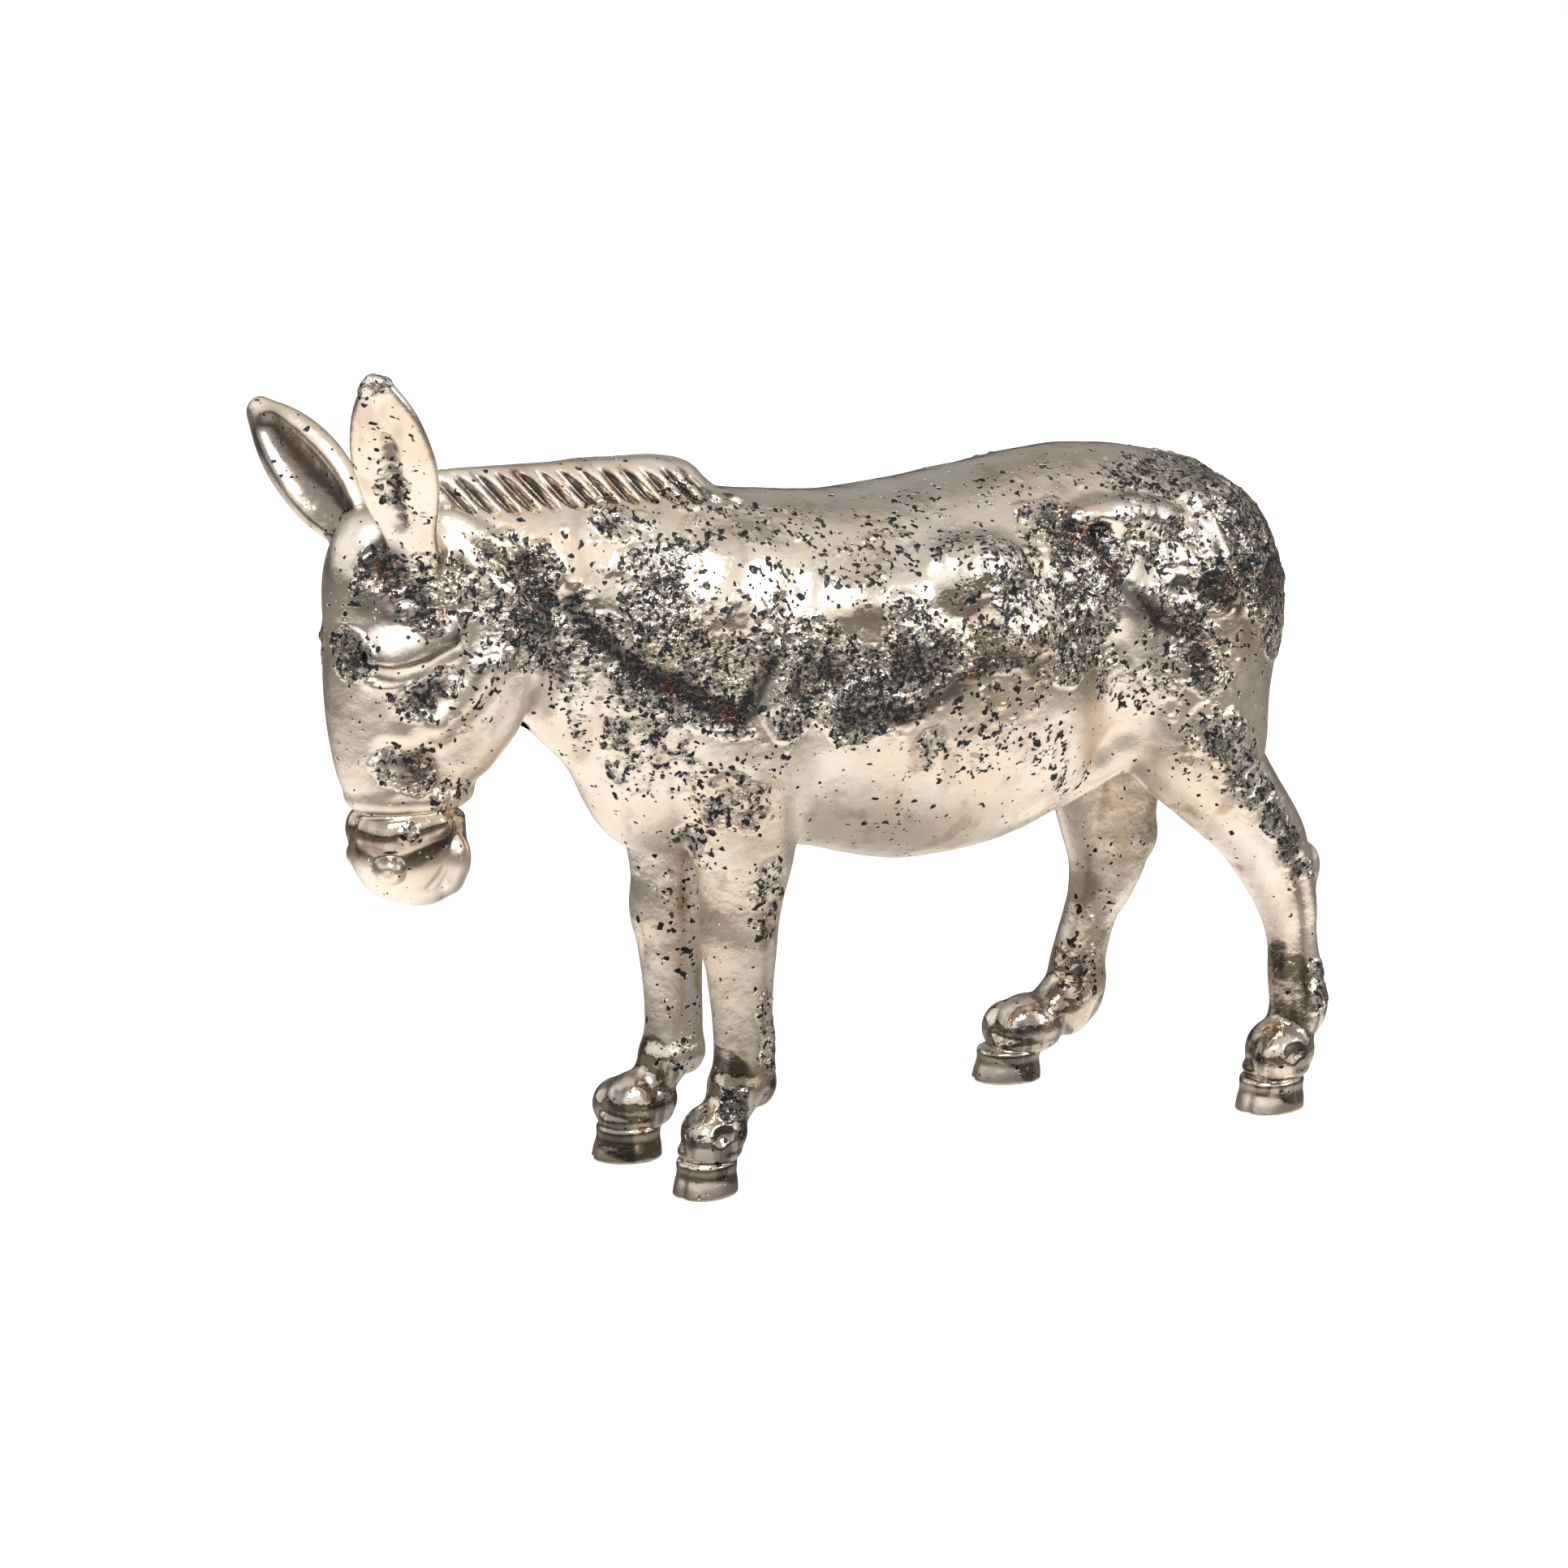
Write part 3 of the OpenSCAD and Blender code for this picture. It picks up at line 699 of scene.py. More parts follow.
# Patches that only the left side has, on the ears and legs
LEFT_PATCHES = [
    (-157, -33, 247, 7, 0.7), (-153, -28, 228, 4, 0.45), (-150, -26, 221, 4, 0.6),
    (-147, -24, 213, 4, 0.75), (-141, -22, 208, 4, 0.55),
    (-36, -30, 96, 5, 0.7), (-36, -30, 88, 5, 0.75), (-37, -30, 82, 5, 0.7),
    (-34, -28, 55, 4.5, 0.85), (-33, -26, 47, 4.5, 0.85), (-34, -26, 39, 4.5, 0.7),
    (-45, -27, 27, 4.5, 1.0), (153, -38, 42, 5, 0.85), (153, -38, 34, 4, 0.8),
    (143, -42, 76, 5, 0.8),
]
RIGHT_PATCHES = [
    (-160, 26, 219, 4, 0.5), (-155, 20, 207, 4, 0.7), (-148, 14, 200, 4, 0.6),
    (-46, 10, 84, 7, 0.4), (-44, 11, 74, 7, 0.42), (-42, 11, 62, 6, 0.36),
    (-42, 12, 45, 6, 0.4), (-42, 12, 32, 6, 0.55), (112, 22, 70, 9, 0.25),
    (108, 22, 54, 6, 0.36), (104, 22, 40, 6, 0.45), (104, 22, 30, 6, 0.55),
    (-38, 30, 90, 7, 0.6), (-38, 29, 70, 6, 0.5),
]


def patch_rows():
    rows = [(x, side * y, z, r, a) for x, y, z, r, a in PATCHES for side in BOTH]
    return np.array(rows + LEFT_PATCHES + RIGHT_PATCHES)


PATCH_ROWS = patch_rows()


def roughness_at(points):
    """How heavily the skin is pitted at each point, from 0 to 1, with ragged edges."""
    wander = np.stack([layered(points, 9, 3, seed) for seed in (11, 23, 37)], 1)
    p = points + 3.2 * wander
    made = np.zeros(len(p))
    for x, y, z, radius, amount in PATCH_ROWS:
        reach = radius * 1.5
        near = np.flatnonzero((np.abs(p - (x, y, z)) < reach).all(1))
        if len(near):
            gap = length(p[near] - (x, y, z)) / reach
            fade = np.clip(1.45 * (1 - gap**2), 0, 1)
            made[near] = np.maximum(made[near], amount * fade)
    return made


# Painted shade and painted dark reflections on smooth places, on both sides: (x, y, z, radius, how
# dark)
PAINTED_SHADE_PATCHES = [
    (-146, 14, 191, 6.5, 0.8), (-149, 11, 184, 4, 0.5), (-149, 13, 167, 3.5, 0.5),
    (-142, 16, 181, 6, 0.7), (-152, 8, 168, 5, 0.5),
    (-136, 18, 177, 5, 0.65), (-130, 19, 174, 3.5, 0.6), (-107, 17, 187, 6, 0.6),
    (-104, 18, 177, 6, 0.7), (-136, 17, 155, 4.5, 0.75), (-138, 15, 135, 4.5, 0.75),
    (-149, 9, 116, 6, 0.28), (-141, 13, 116, 6, 0.28), (60, 33, 187, 6, 0.8),
    (100, 34, 184, 6, 0.3), (109, 41, 168, 5, 0.7), (125, 30, 184, 9, 0.4),
    (130, 37, 165, 8, 0.4), (140, 24, 168, 10, 0.4), (1, 44, 157, 5, 0.8),
    (10, 45, 158, 5, 0.7), (-21, 41, 155, 5, 0.75), (-13, 43, 146, 5, 0.7),
    (-28, 40, 151, 5, 0.5), (136, 43, 85, 4, 0.7), (130, 43, 95, 4, 0.5),
    # Last row: painted shadow high on the inner sides of the legs, under the belly
    (113, 18, 108, 10, 0.6), (-36, 12, 98, 7, 0.45),
]
# Painted shade along creases and lines, such as the lower lid and the mouth: points along them,
# radius, how dark
PAINTED_SHADE_LINES = [
    ([(-93, 21, 176), (-83, 24, 165), (-74, 27, 156.5), (-61, 31, 150.5), (-50, 36, 144)],
     3.0, 0.95),
    ([(-50, 36, 144), (-44, 38, 150), (-40, 38, 158)], 2.6, 0.85),
    ([(69, 35, 187), (71, 41, 178), (76, 43, 172), (80, 44, 167), (89, 43, 159),
      (98, 43, 154)], 2.8, 0.9),
    ([(95, 40, 169), (102, 42, 167), (108, 43, 164), (116, 43, 161)], 2.2, 0.75),
    ([(113, 35, 189), (117, 39, 180), (120, 41, 170), (122, 42, 162)], 2.4, 0.7),
    ([(98, 42, 161), (101, 43, 156), (101, 43.5, 148), (104, 45, 139)], 2.2, 0.7),
    ([(-18, 42, 140), (-8, 44, 143), (0, 45, 141), (9, 46, 145), (17, 46.5, 149),
      (30, 46.5, 155), (40, 47, 152)], 2.2, 0.8),
    ([(-28, 40, 133), (-26, 36, 118), (-23, 32, 105)], 3.5, 0.3),
    ([(-152, 10.5, 165.6), (-146, 17, 165), (-140, 19, 166.2), (-134, 20, 168.2),
      (-128, 20, 170.8)], 1.0, 0.85),
    ([(-152, 4, 111), (-149, 9, 112), (-143, 14, 109), (-136, 15, 110), (-127, 14, 116)],
     1.5, 0.7),
    ([(-100, 20, 170), (-98, 18, 158), (-99, 15, 147)], 2.6, 0.5),
    ([(88, 6, 109), (78, 7, 102), (68, 8, 96), (57, 8, 91)], 1.4, 0.8),
]
# Places rubbed to a mirror, where the finish also paints dark reflection streaks: (x, y, z, radius)
POLISHED = [
    (-47.5, -20, 33, 11.5), (-50, -20, 26, 12), (139, -35, 44, 10), (139, -35, 36, 11.5),
    (142, -34, 27, 12), (-50, 18, 28, 10), (100, 28, 33, 9), (97, 28, 24, 11),
    (-50, -20, 15, 14), (-54, 20, 13, 16), (142, -33, 15, 15), (90, 31, 14, 16),
    (156, -34, 30, 8), (112, 30, 22, 9), (-34, -21, 30, 7),
]


def painted_shade_spots():
    """Every spot of painted shade, with the creases turned into rows of spots, and painted shade in
    the mane's grooves and the ear hollows.
    """
    spots = [(x, side * y, z, r, a) for x, y, z, r, a in PAINTED_SHADE_PATCHES for side in BOTH]
    for path, radius, amount in PAINTED_SHADE_LINES:
        for x, y, z in curve_through(path, 6):
            spots += [(x, side * y, z, radius, amount) for side in BOTH]
    # Painted shade down each groove of the mane
    for x, half_w, top in mane_grooves():
        for share in np.linspace(0.0, 0.78, 14):
            y = half_w - 1.6 + 2.6 * share
            place = (x + GROOVE_RUN * share, y, top - GROOVE_DROP * share)
            spots += [(place[0], side * place[1], place[2], 0.55, 0.92) for side in BOTH]
    # Painted shade in the hollow of each ear
    for name, across, path, radius, amount in (
        ("ear_right", -3.6, (12, 19, 26, 33, 40, 46), 5.6, 0.78),
        ("ear_left", -1.2, (14, 18, 22, 26, 30, 34, 37), 1.1, 0.85),
    ):
        ear = EARS[name]
        for along in path:
            spot = np.array(ear["root"]) + ear["turn"] @ np.array([across, 0.5, along])
            spots.append((*spot, radius, amount))
    return spots


PAINTED_SHADE_SPOTS = painted_shade_spots()


# How much painted shade each point gets, from 0 to 1
def painted_shade_at(points):
    p = points + 1.3 * np.stack([layered(points, 6, 2, seed) for seed in (61, 67, 71)], 1)
    made = np.zeros(len(p))
    for x, y, z, radius, amount in PAINTED_SHADE_SPOTS:
        reach = radius * 1.35 + 1
        near = np.flatnonzero((np.abs(p - (x, y, z)) < reach).all(1))
        if len(near):
            gap = length(p[near] - (x, y, z)) / reach
            made[near] = np.maximum(made[near], amount * np.clip(2.4 * (1 - gap), 0, 1))
    return made


def polish_at(points):
    """How bright the surface is rubbed, from 0 for satin to 1 for a mirror."""
    upper = np.clip((points[:, 2] - 128 + 9 * noise(points, 24, 51)) / 45, 0, 1)
    head = np.clip((-104 - points[:, 0]) / 20, 0, 1)
    made = 0.55 * upper * (1 - 0.45 * head)
    p = points + 1.4 * noise(points, 5, 52)[:, None]
    for x, y, z, radius in POLISHED:
        gap = length(p - (x, y, z))
        made = np.maximum(made, np.clip((radius - gap) / 0.9, 0, 1))
    nose = np.clip((122 - points[:, 2]) / 2, 0, 1) * (points[:, 0] < -105)
    return np.maximum(made, nose * np.clip((points[:, 2] - 107) / 6, 0.1, 0.88))


def skin_height(points, rough):
    """How far the skin lies along the casting's normals, which point into the metal.

    So a positive height sinks the skin, and the terms for holes and eaten places raise it.
    """
    soft = 0.34 * noise(points, 24, 3) + 0.2 * noise(points, 10, 4)
    calm = np.clip((points[:, 2] - 20) / 60, 0.3, 1)
    lumps = rough**2 * 0.8 * layered(points, 9, 2, 5)
    crinkle = rough**2.2 * 0.4 * (1 - 2.4 * np.abs(layered(points, 4.6, 2, 6)))
    blobs = layered(points, 3.4, 2, 40)
    holes = np.clip((blobs - 0.62 + 0.5 * rough) * 6, 0, 1) * np.clip(rough * 3, 0, 1)
    eaten = 0.45 * np.clip((rough - 0.5) * 8, 0, 1)
    return soft * calm + lumps + crinkle - eaten - 0.45 * holes


# ---- From distance to mesh -------------------------------------------------------------

BODY_PITCH, FINE_PITCH = ((0.7, 0.5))


def cube_steps(count, size=1):
    """The corners of the small cubes that a bigger cube is cut into."""
    steps = np.arange(count) * size
    return np.stack(np.meshgrid(steps, steps, steps, indexing="ij"), -1).reshape(-1, 3)


SMALL_CUBE = 1.45


def distance_grid(form, low, shape, pitch):
    """Distances on a grid, worked out in full only in the cubes near the surface."""
    half = max(1, round(SMALL_CUBE / pitch))
    block = 2 * half
    counts = -(-shape // block)
    corners = np.stack(np.meshgrid(*map(np.arange, counts), indexing="ij"), -1)
    corners = corners.reshape(-1, 3) * block
    d = form.distance(low + (corners + (block - 1) / 2) * pitch)
    grid = np.sign(d).reshape(counts)
    for axis in range(3):
        grid = np.repeat(grid, block, axis)
    grid = (grid * BAND).astype(np.float32)
    near = corners[np.abs(d) < 1.2 * block * pitch + 1.5]
    small = (near[:, None] + cube_steps(2, half)).reshape(-1, 3)
    d = form.distance(low + (small + (half - 1) / 2) * pitch)
    cells = (small[:, None] + cube_steps(half)).reshape(-1, 3)
    grid[tuple(cells.T)] = np.repeat(np.sign(d) * BAND, half**3)
    near = small[np.abs(d) < 1.2 * half * pitch + 1.0]
    cells = (near[:, None] + cube_steps(half)).reshape(-1, 3)
    grid[tuple(cells.T)] = np.clip(form.distance(low + cells * pitch), -BAND, BAND)
    return np.ascontiguousarray(grid[: shape[0], : shape[1], : shape[2]])


def surface_of(form, low, high, pitch):
    """A closed mesh of the part of the form inside a box: points, triangles and quads."""
    low, high = np.array(low, float), np.array(high, float)
    shape = np.ceil((high - low) / pitch).astype(int) + 1
    grid = distance_grid(form, low, shape, pitch)
    for axis in range(3):
        for end in (0, -1):
            edge = [slice(None)] * 3
            edge[axis] = end
            grid[tuple(edge)] = np.maximum(grid[tuple(edge)], 0.5 * pitch)
    made = openvdb.FloatGrid(BAND)
    made.copyFromArray(grid)
    points, triangles, quads = made.convertToPolygons(isovalue=0.0, adaptivity=0.0)
    return low + points.astype(float) * pitch, triangles, quads


def mesh_object(name, points, triangles, quads):
    """A smooth mesh object from points in millimetres. Its faces are turned inward."""
    mesh = bpy.data.meshes.new(name)
    faces = triangles[:, ::-1].tolist() + quads[:, ::-1].tolist()
    mesh.from_pydata((points * MM).tolist(), [], faces)
    mesh.polygons.foreach_set("use_smooth", [True] * len(mesh.polygons))
    obj = bpy.data.objects.new(name, mesh)
    bpy.context.scene.collection.objects.link(obj)
    return obj


def normals_of(mesh):
    flat = np.empty(len(mesh.vertices) * 3)
    mesh.vertex_normals.foreach_get("vector", flat)
    return flat.reshape(-1, 3)


def points_of(mesh):
    flat = np.empty(len(mesh.vertices) * 3)
    mesh.vertices.foreach_get("co", flat)
    return flat.reshape(-1, 3)


# The skin stays as sculpted this near the edge of a casting's box, and this low on the soles
EDGE_MARGIN, SOLE_BAND = 1.5, 0.6
# A point this near its source is unmoved; a new point takes its looks from this many
# neighbours of the skin, unless the nearest is too far away
SAME_PLACE, NEIGHBOURS, TOO_FAR = 0.02, 3, 1.5
FEWEST_POINTS = 50


class Casting:
    """One region of the sculpture with its rough skin, from which pieces are cut."""

    def __init__(self, form, name, low, high, pitch):
        points, triangles, quads = surface_of(form, low, high, pitch)
        self.obj = mesh_object(name, points, triangles, quads)
        mesh = self.obj.data
        smooth = normals_of(mesh)
        rough = roughness_at(points)
        height = skin_height(points, rough)
        inside = (points > np.array(low) + EDGE_MARGIN) & (points < np.array(high) - EDGE_MARGIN)
        height = np.where(inside.all(1) & (points[:, 2] > SOLE_BAND), height, 0)
        self.points = points + smooth * height[:, None]
        mesh.vertices.foreach_set("co", (self.points * MM).ravel())
        mesh.update()
        self.normals = normals_of(mesh)
        self.skin = np.stack([rough, polish_at(points), painted_shade_at(points)], 1)
        self.tree = None

    def finder(self):
        if self.tree is None:
            self.tree = KDTree(len(self.points))
            for i, p in enumerate(self.points):
                self.tree.insert(p, i)
            self.tree.balance()
        return self.tree

    def piece(self, node, cutters, finish):
        """The piece for a CAD node: the casting cut by (operation, cutter object) pairs."""
        name = node + "_skin"
        slot, material = finish
        mesh = self.obj.data.copy()
        obj = bpy.data.objects.new(name, mesh)
        bpy.context.scene.collection.objects.link(obj)
        store = mesh.attributes.new("source", "INT", "POINT")
        store.data.foreach_set("value", np.arange(1, len(mesh.vertices) + 1, dtype=np.int32))
        for operation, cutter in cutters:
            modifier = obj.modifiers.new("cut", "BOOLEAN")
            modifier.operation = operation
            modifier.solver = "MANIFOLD"
            modifier.object = cutter
        graph = bpy.context.evaluated_depsgraph_get()
        cut = bpy.data.meshes.new_from_object(obj.evaluated_get(graph))
        obj.modifiers.clear()
        obj.data = cut
        cut.name = name
        if len(cut.vertices) < FEWEST_POINTS:
            raise RuntimeError(name + " has no surface left after its cuts")
        self.dress(cut)
        cut.materials.clear()
        cut.materials.append(material)
        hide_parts(node)
        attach(obj, "root")

    def dress(self, mesh):
        """Gives a cut mesh the normals and the finish of the skin it was cut from."""
        source = np.empty(len(mesh.vertices), np.int32)
        mesh.attributes["source"].data.foreach_get("value", source)
        mesh.attributes.remove(mesh.attributes["source"])
        normals = normals_of(mesh)
        skin = np.zeros((len(source), 3))
        points = points_of(mesh) / MM
        known = source > 0
        known[known] = length(self.points[source[known] - 1] - points[known]) < SAME_PLACE
        normals[known] = self.normals[source[known] - 1]
        skin[known] = self.skin[source[known] - 1]
        tree = self.finder()
        for i in np.flatnonzero(~known):
            found = tree.find_n(points[i], NEIGHBOURS)
            gaps = np.array([gap for _, _, gap in found])
            if gaps[0] > TOO_FAR:
                continue
            rows = [index for _, index, _ in found]
            weights = 1 / (gaps + 0.01)
            weights /= weights.sum()
            normals[i] = weights @ self.normals[rows]
            skin[i] = weights @ self.skin[rows]
        for column, name in enumerate(("rough", "polish", "painted_shade")):
            layer = mesh.attributes.new(name, "FLOAT", "POINT")
            layer.data.foreach_set("value", skin[:, column].astype(np.float32))
        mesh.polygons.foreach_set("use_smooth", [True] * len(mesh.polygons))
        normals /= np.maximum(length(normals), 1e-9)[:, None]
        mesh.normals_split_custom_set_from_vertices(normals.tolist())


# ---- Cutters ---------------------------------------------------------------------------

CUTTERS = []
CUTTER_CUTS = 30


def block(name, low, high, frame_of=None):
    """A box cutter. Its corners may be given in a turned frame: (origin, 3x3 turn)."""
    corners = np.array([[x, y, z] for x in (low[0], high[0]) for y in (low[1], high[1])
                        for z in (low[2], high[2])], float)
    if frame_of:
        origin, turn = frame_of
        corners = np.array(origin) + corners @ np.array(turn).T
    mesh = bpy.data.meshes.new(name)
    built = bmesh.new()
    verts = [built.verts.new(c * MM) for c in corners]
    for face in ((0, 1, 3, 2), (4, 6, 7, 5), (0, 4, 5, 1), (2, 3, 7, 6), (0, 2, 6, 4),
                 (1, 5, 7, 3)):
        built.faces.new([verts[i] for i in face])
    bmesh.ops.subdivide_edges(built, edges=built.edges[:], cuts=CUTTER_CUTS, use_grid_fill=True)
    bmesh.ops.triangulate(built, faces=built.faces[:])
    built.to_mesh(mesh)
    built.free()
    obj = bpy.data.objects.new(name, mesh)
    bpy.context.scene.collection.objects.link(obj)
    CUTTERS.append(obj)
    return obj


WALL = 4.5
CAVITY_BOX = ((-122, -48, 88), (150, 48, 216))
CAVITY_PITCH = 2.4


def cavity_cutter():
    """The hollow inside the body, the trunk and neck thinned by the wall.

    It is turned inward like the castings, so it ends up as a closed surface nested in each
    shell, which faces the same way as the outside.
    """
    form = Form()
    form.add([e[:3] + [r - WALL for r in e[3:]] for e in TRUNK], k=1)
    parts = surface_of(form, *CAVITY_BOX, CAVITY_PITCH)
    obj = mesh_object("cut_cavity", *parts)
    CUTTERS.append(obj)
    return obj


NECK_LEAN = math.radians(-16)
NECK_SEAM = ((-111, 0, 180), np.array(Matrix.Rotation(NECK_LEAN, 3, "Y")))
MANE_SEAM = ((-43, 0, 204.5), np.array(Matrix.Rotation(math.atan2(3.5, 75), 3, "Y")))
MUZZLE_SEAM_Z = 121.0
FORELEG_SEAM_Z, HINDLEG_SEAM_Z = 99.0, 101.0
# How far along each ear its seam lies, and the box that holds the ear above it
EAR_SEAM = 13
EAR_HALF_BOX = 18
EAR_BOX_TOP = 80


def make_cutters():
    """The shapes that cut the castings at the seams of the CAD model."""
    cut = {
        "left": block("cut_left", (-170, -60, -10), (170, 0, 260)),
        "right": block("cut_right", (-170, 0, -10), (170, 60, 260)),
        "head": block("cut_head", (-90, -70, -130), (0, 70, 110), NECK_SEAM),
        "mane": block("cut_mane", (-86, -11, 0), (7, 11, 60), MANE_SEAM),
        "muzzle": block("cut_muzzle", (-170, -30, 80), (-100, 30, MUZZLE_SEAM_Z)),
        "forelegs": block("cut_forelegs", (-80, -60, -10), (-21, 60, FORELEG_SEAM_Z)),
        "hindlegs": block("cut_hindlegs", (78, -60, -10), (175, 60, HINDLEG_SEAM_Z)),
        "hooves": block("cut_hooves", (-90, -60, -10), (175, 60, HOOF_TOP)),
        "tail": block("cut_tail", (140, -8.5, 60), (180, 8.5, 187)),
        "cavity": cavity_cutter(),
    }
    for name, ear in EARS.items():
        cut[name] = block("cut_" + name, (-EAR_HALF_BOX, -EAR_HALF_BOX, EAR_SEAM),
                          (EAR_HALF_BOX, EAR_HALF_BOX, EAR_BOX_TOP), (ear["root"], ear["turn"]))
    return cut


# ---- The pieces ------------------------------------------------------------------------


def make_pieces(form, finishes):
    """Sculpts each casting and cuts every piece from it."""
    polished, satin, bright = finishes
    cut = make_cutters()

    def less(*names):
        return [("DIFFERENCE", cut[n]) for n in names]

    def only(*names):
        return [("INTERSECT", cut[n]) for n in names]

    body = Casting(form, "casting_body", (-124, -52, 84), (164, 52, 212), BODY_PITCH)
    for side in ("left", "right"):
        steps = only(side) + less("head", "mane", "forelegs", "hindlegs", "tail", "cavity")
        body.piece("body_%s_shell" % side, steps, polished)
    head = Casting(form, "casting_head", (-166, -52, 90), (-96, 56, 252), FINE_PITCH)
    steps = only("head") + less("muzzle", "mane", "ear_left", "ear_right")
    head.piece("head", steps, polished)
    head.piece("muzzle", only("muzzle"), bright)
    for name in EARS:
        head.piece(name, only(name), polished)
    mane = Casting(form, "casting_mane", (-134, -15, 196), (-34, 15, 220), FINE_PITCH)
    mane.piece("mane", only("mane"), polished)
    tail = Casting(form, "casting_tail", (134, -14, 70), (162, 14, 194), FINE_PITCH)
    tail.piece("tail", only("tail"), polished)
    legs = {
        "foreleg_left": ((-84, -42, -2), (-16, -4, 104), "forelegs", "hoof_front_left"),
        "foreleg_right": ((-84, 4, -2), (-16, 42, 104), "forelegs", "hoof_front_right"),
        "hindleg_left": ((74, -54, -2), (166, -1, 106), "hindlegs", "hoof_rear_left"),
        "hindleg_right": ((70, 1, -2), (166, 54, 106), "hindlegs", "hoof_rear_right"),
    }
    for name, (low, high, zone, hoof) in legs.items():
        leg = Casting(form, "casting_" + name, low, high, FINE_PITCH)
        steps = only(zone) + less("hooves")
        if name.startswith("hindleg"):
            steps += less("tail")
        leg.piece(name, steps, satin)
        leg.piece(hoof, only("hooves"), bright)
        bpy.data.objects.remove(leg.obj)
    for casting in (body, head, mane, tail):
        bpy.data.objects.remove(casting.obj)
    for cutter in CUTTERS:
        bpy.data.objects.remove(cutter)


# ---- Materials -------------------------------------------------------------------------


class Nodes:
    """A short way to write a node tree."""

    def __init__(self, name):
        self.material = bpy.data.materials.new(name)
        self.material.use_nodes = True
        self.tree = self.material.node_tree
        self.shader = self.tree.nodes["Principled BSDF"]
        self.where = self.node("ShaderNodeTexCoord").outputs["Object"]

    def node(self, kind, **settings):
        made = self.tree.nodes.new(kind)
        for key, value in settings.items():
            setattr(made, key, value)
        return made

    def put(self, socket, value):
        if isinstance(value, bpy.types.NodeSocket):
            self.tree.links.new(value, socket)
        else:
            socket.default_value = value

    def math(self, operation, *values, clamp=False):
        made = self.node("ShaderNodeMath", operation=operation, use_clamp=clamp)
        for socket, value in zip(made.inputs, values):
            self.put(socket, value)
        return made.outputs[0]

    def ramp(self, value, low, high, to_low=0.0, to_high=1.0):
        """Maps a value smoothly from one range to another."""
        made = self.node("ShaderNodeMapRange", interpolation_type="SMOOTHSTEP")
        for socket, number in zip(made.inputs, (value, low, high, to_low, to_high)):
            self.put(socket, number)
        return made.outputs[0]

    def noise(self, size_mm, detail=3.0, rough=0.5):
        made = self.node("ShaderNodeTexNoise")
        self.put(made.inputs["Vector"], self.where)
        made.inputs["Scale"].default_value = 1000.0 / size_mm
        made.inputs["Detail"].default_value = detail
        made.inputs["Roughness"].default_value = rough
        return made.outputs["Fac"]

    def upright_noise(self, size_mm, squeeze):
        """Noise drawn out along Z, so that it makes upright streaks."""
        longer = self.node("ShaderNodeVectorMath", operation="MULTIPLY")
        self.put(longer.inputs[0], self.where)
        longer.inputs[1].default_value = (1.0, 1.0, squeeze)
        made = self.node("ShaderNodeTexNoise")
        self.put(made.inputs["Vector"], longer.outputs[0])
        made.inputs["Scale"].default_value = 1000.0 / size_mm
        made.inputs["Detail"].default_value = 2.0
        return made.outputs["Fac"]

    def mix(self, share, a, b):
        made = self.node("ShaderNodeMix", data_type="RGBA")
        self.put(made.inputs["Factor"], share)
        for socket, value in ((made.inputs[6], a), (made.inputs[7], b)):
            self.put(socket, (*value, 1.0) if isinstance(value, tuple) else value)
        return made.outputs[2]

    def blobs(self, size_mm, amount, least, most, soft=0.035, detail=1.5):
        """Ragged holes, 1 inside: the more amount, the more and the larger they are."""
        limit = self.ramp(amount, 0.0, 1.0, least, most)
        above = self.math("SUBTRACT", self.noise(size_mm, detail, 0.55), limit)
        return self.ramp(above, -soft, soft)

    def bump(self, height, distance_mm, strength, normal=None):
        made = self.node("ShaderNodeBump")
        self.put(made.inputs["Height"], height)
        made.inputs["Distance"].default_value = distance_mm * MM
        made.inputs["Strength"].default_value = strength
        if normal:
            self.put(made.inputs["Normal"], normal)
        return made.outputs[0]

    def skin(self, name):
        return self.node("ShaderNodeAttribute", attribute_name=name).outputs["Fac"]


NICKEL = (0.83, 0.76, 0.68)
WARM = (0.77, 0.665, 0.55)
CLOUDY = (0.33, 0.295, 0.26)
PATINA = (0.075, 0.077, 0.084)
PIT = (0.032, 0.035, 0.040)
RUST = (0.24, 0.11, 0.07)
TAN = (0.48, 0.37, 0.25)
# Colours of painted shade, dark grey and reddish
PAINTED_SHADE_COLOUR = (0.052, 0.048, 0.046)
RUSTY_PAINTED_SHADE_COLOUR = (0.10, 0.042, 0.028)
PAINTED_DARK_REFLECTION = (0.10, 0.088, 0.08)


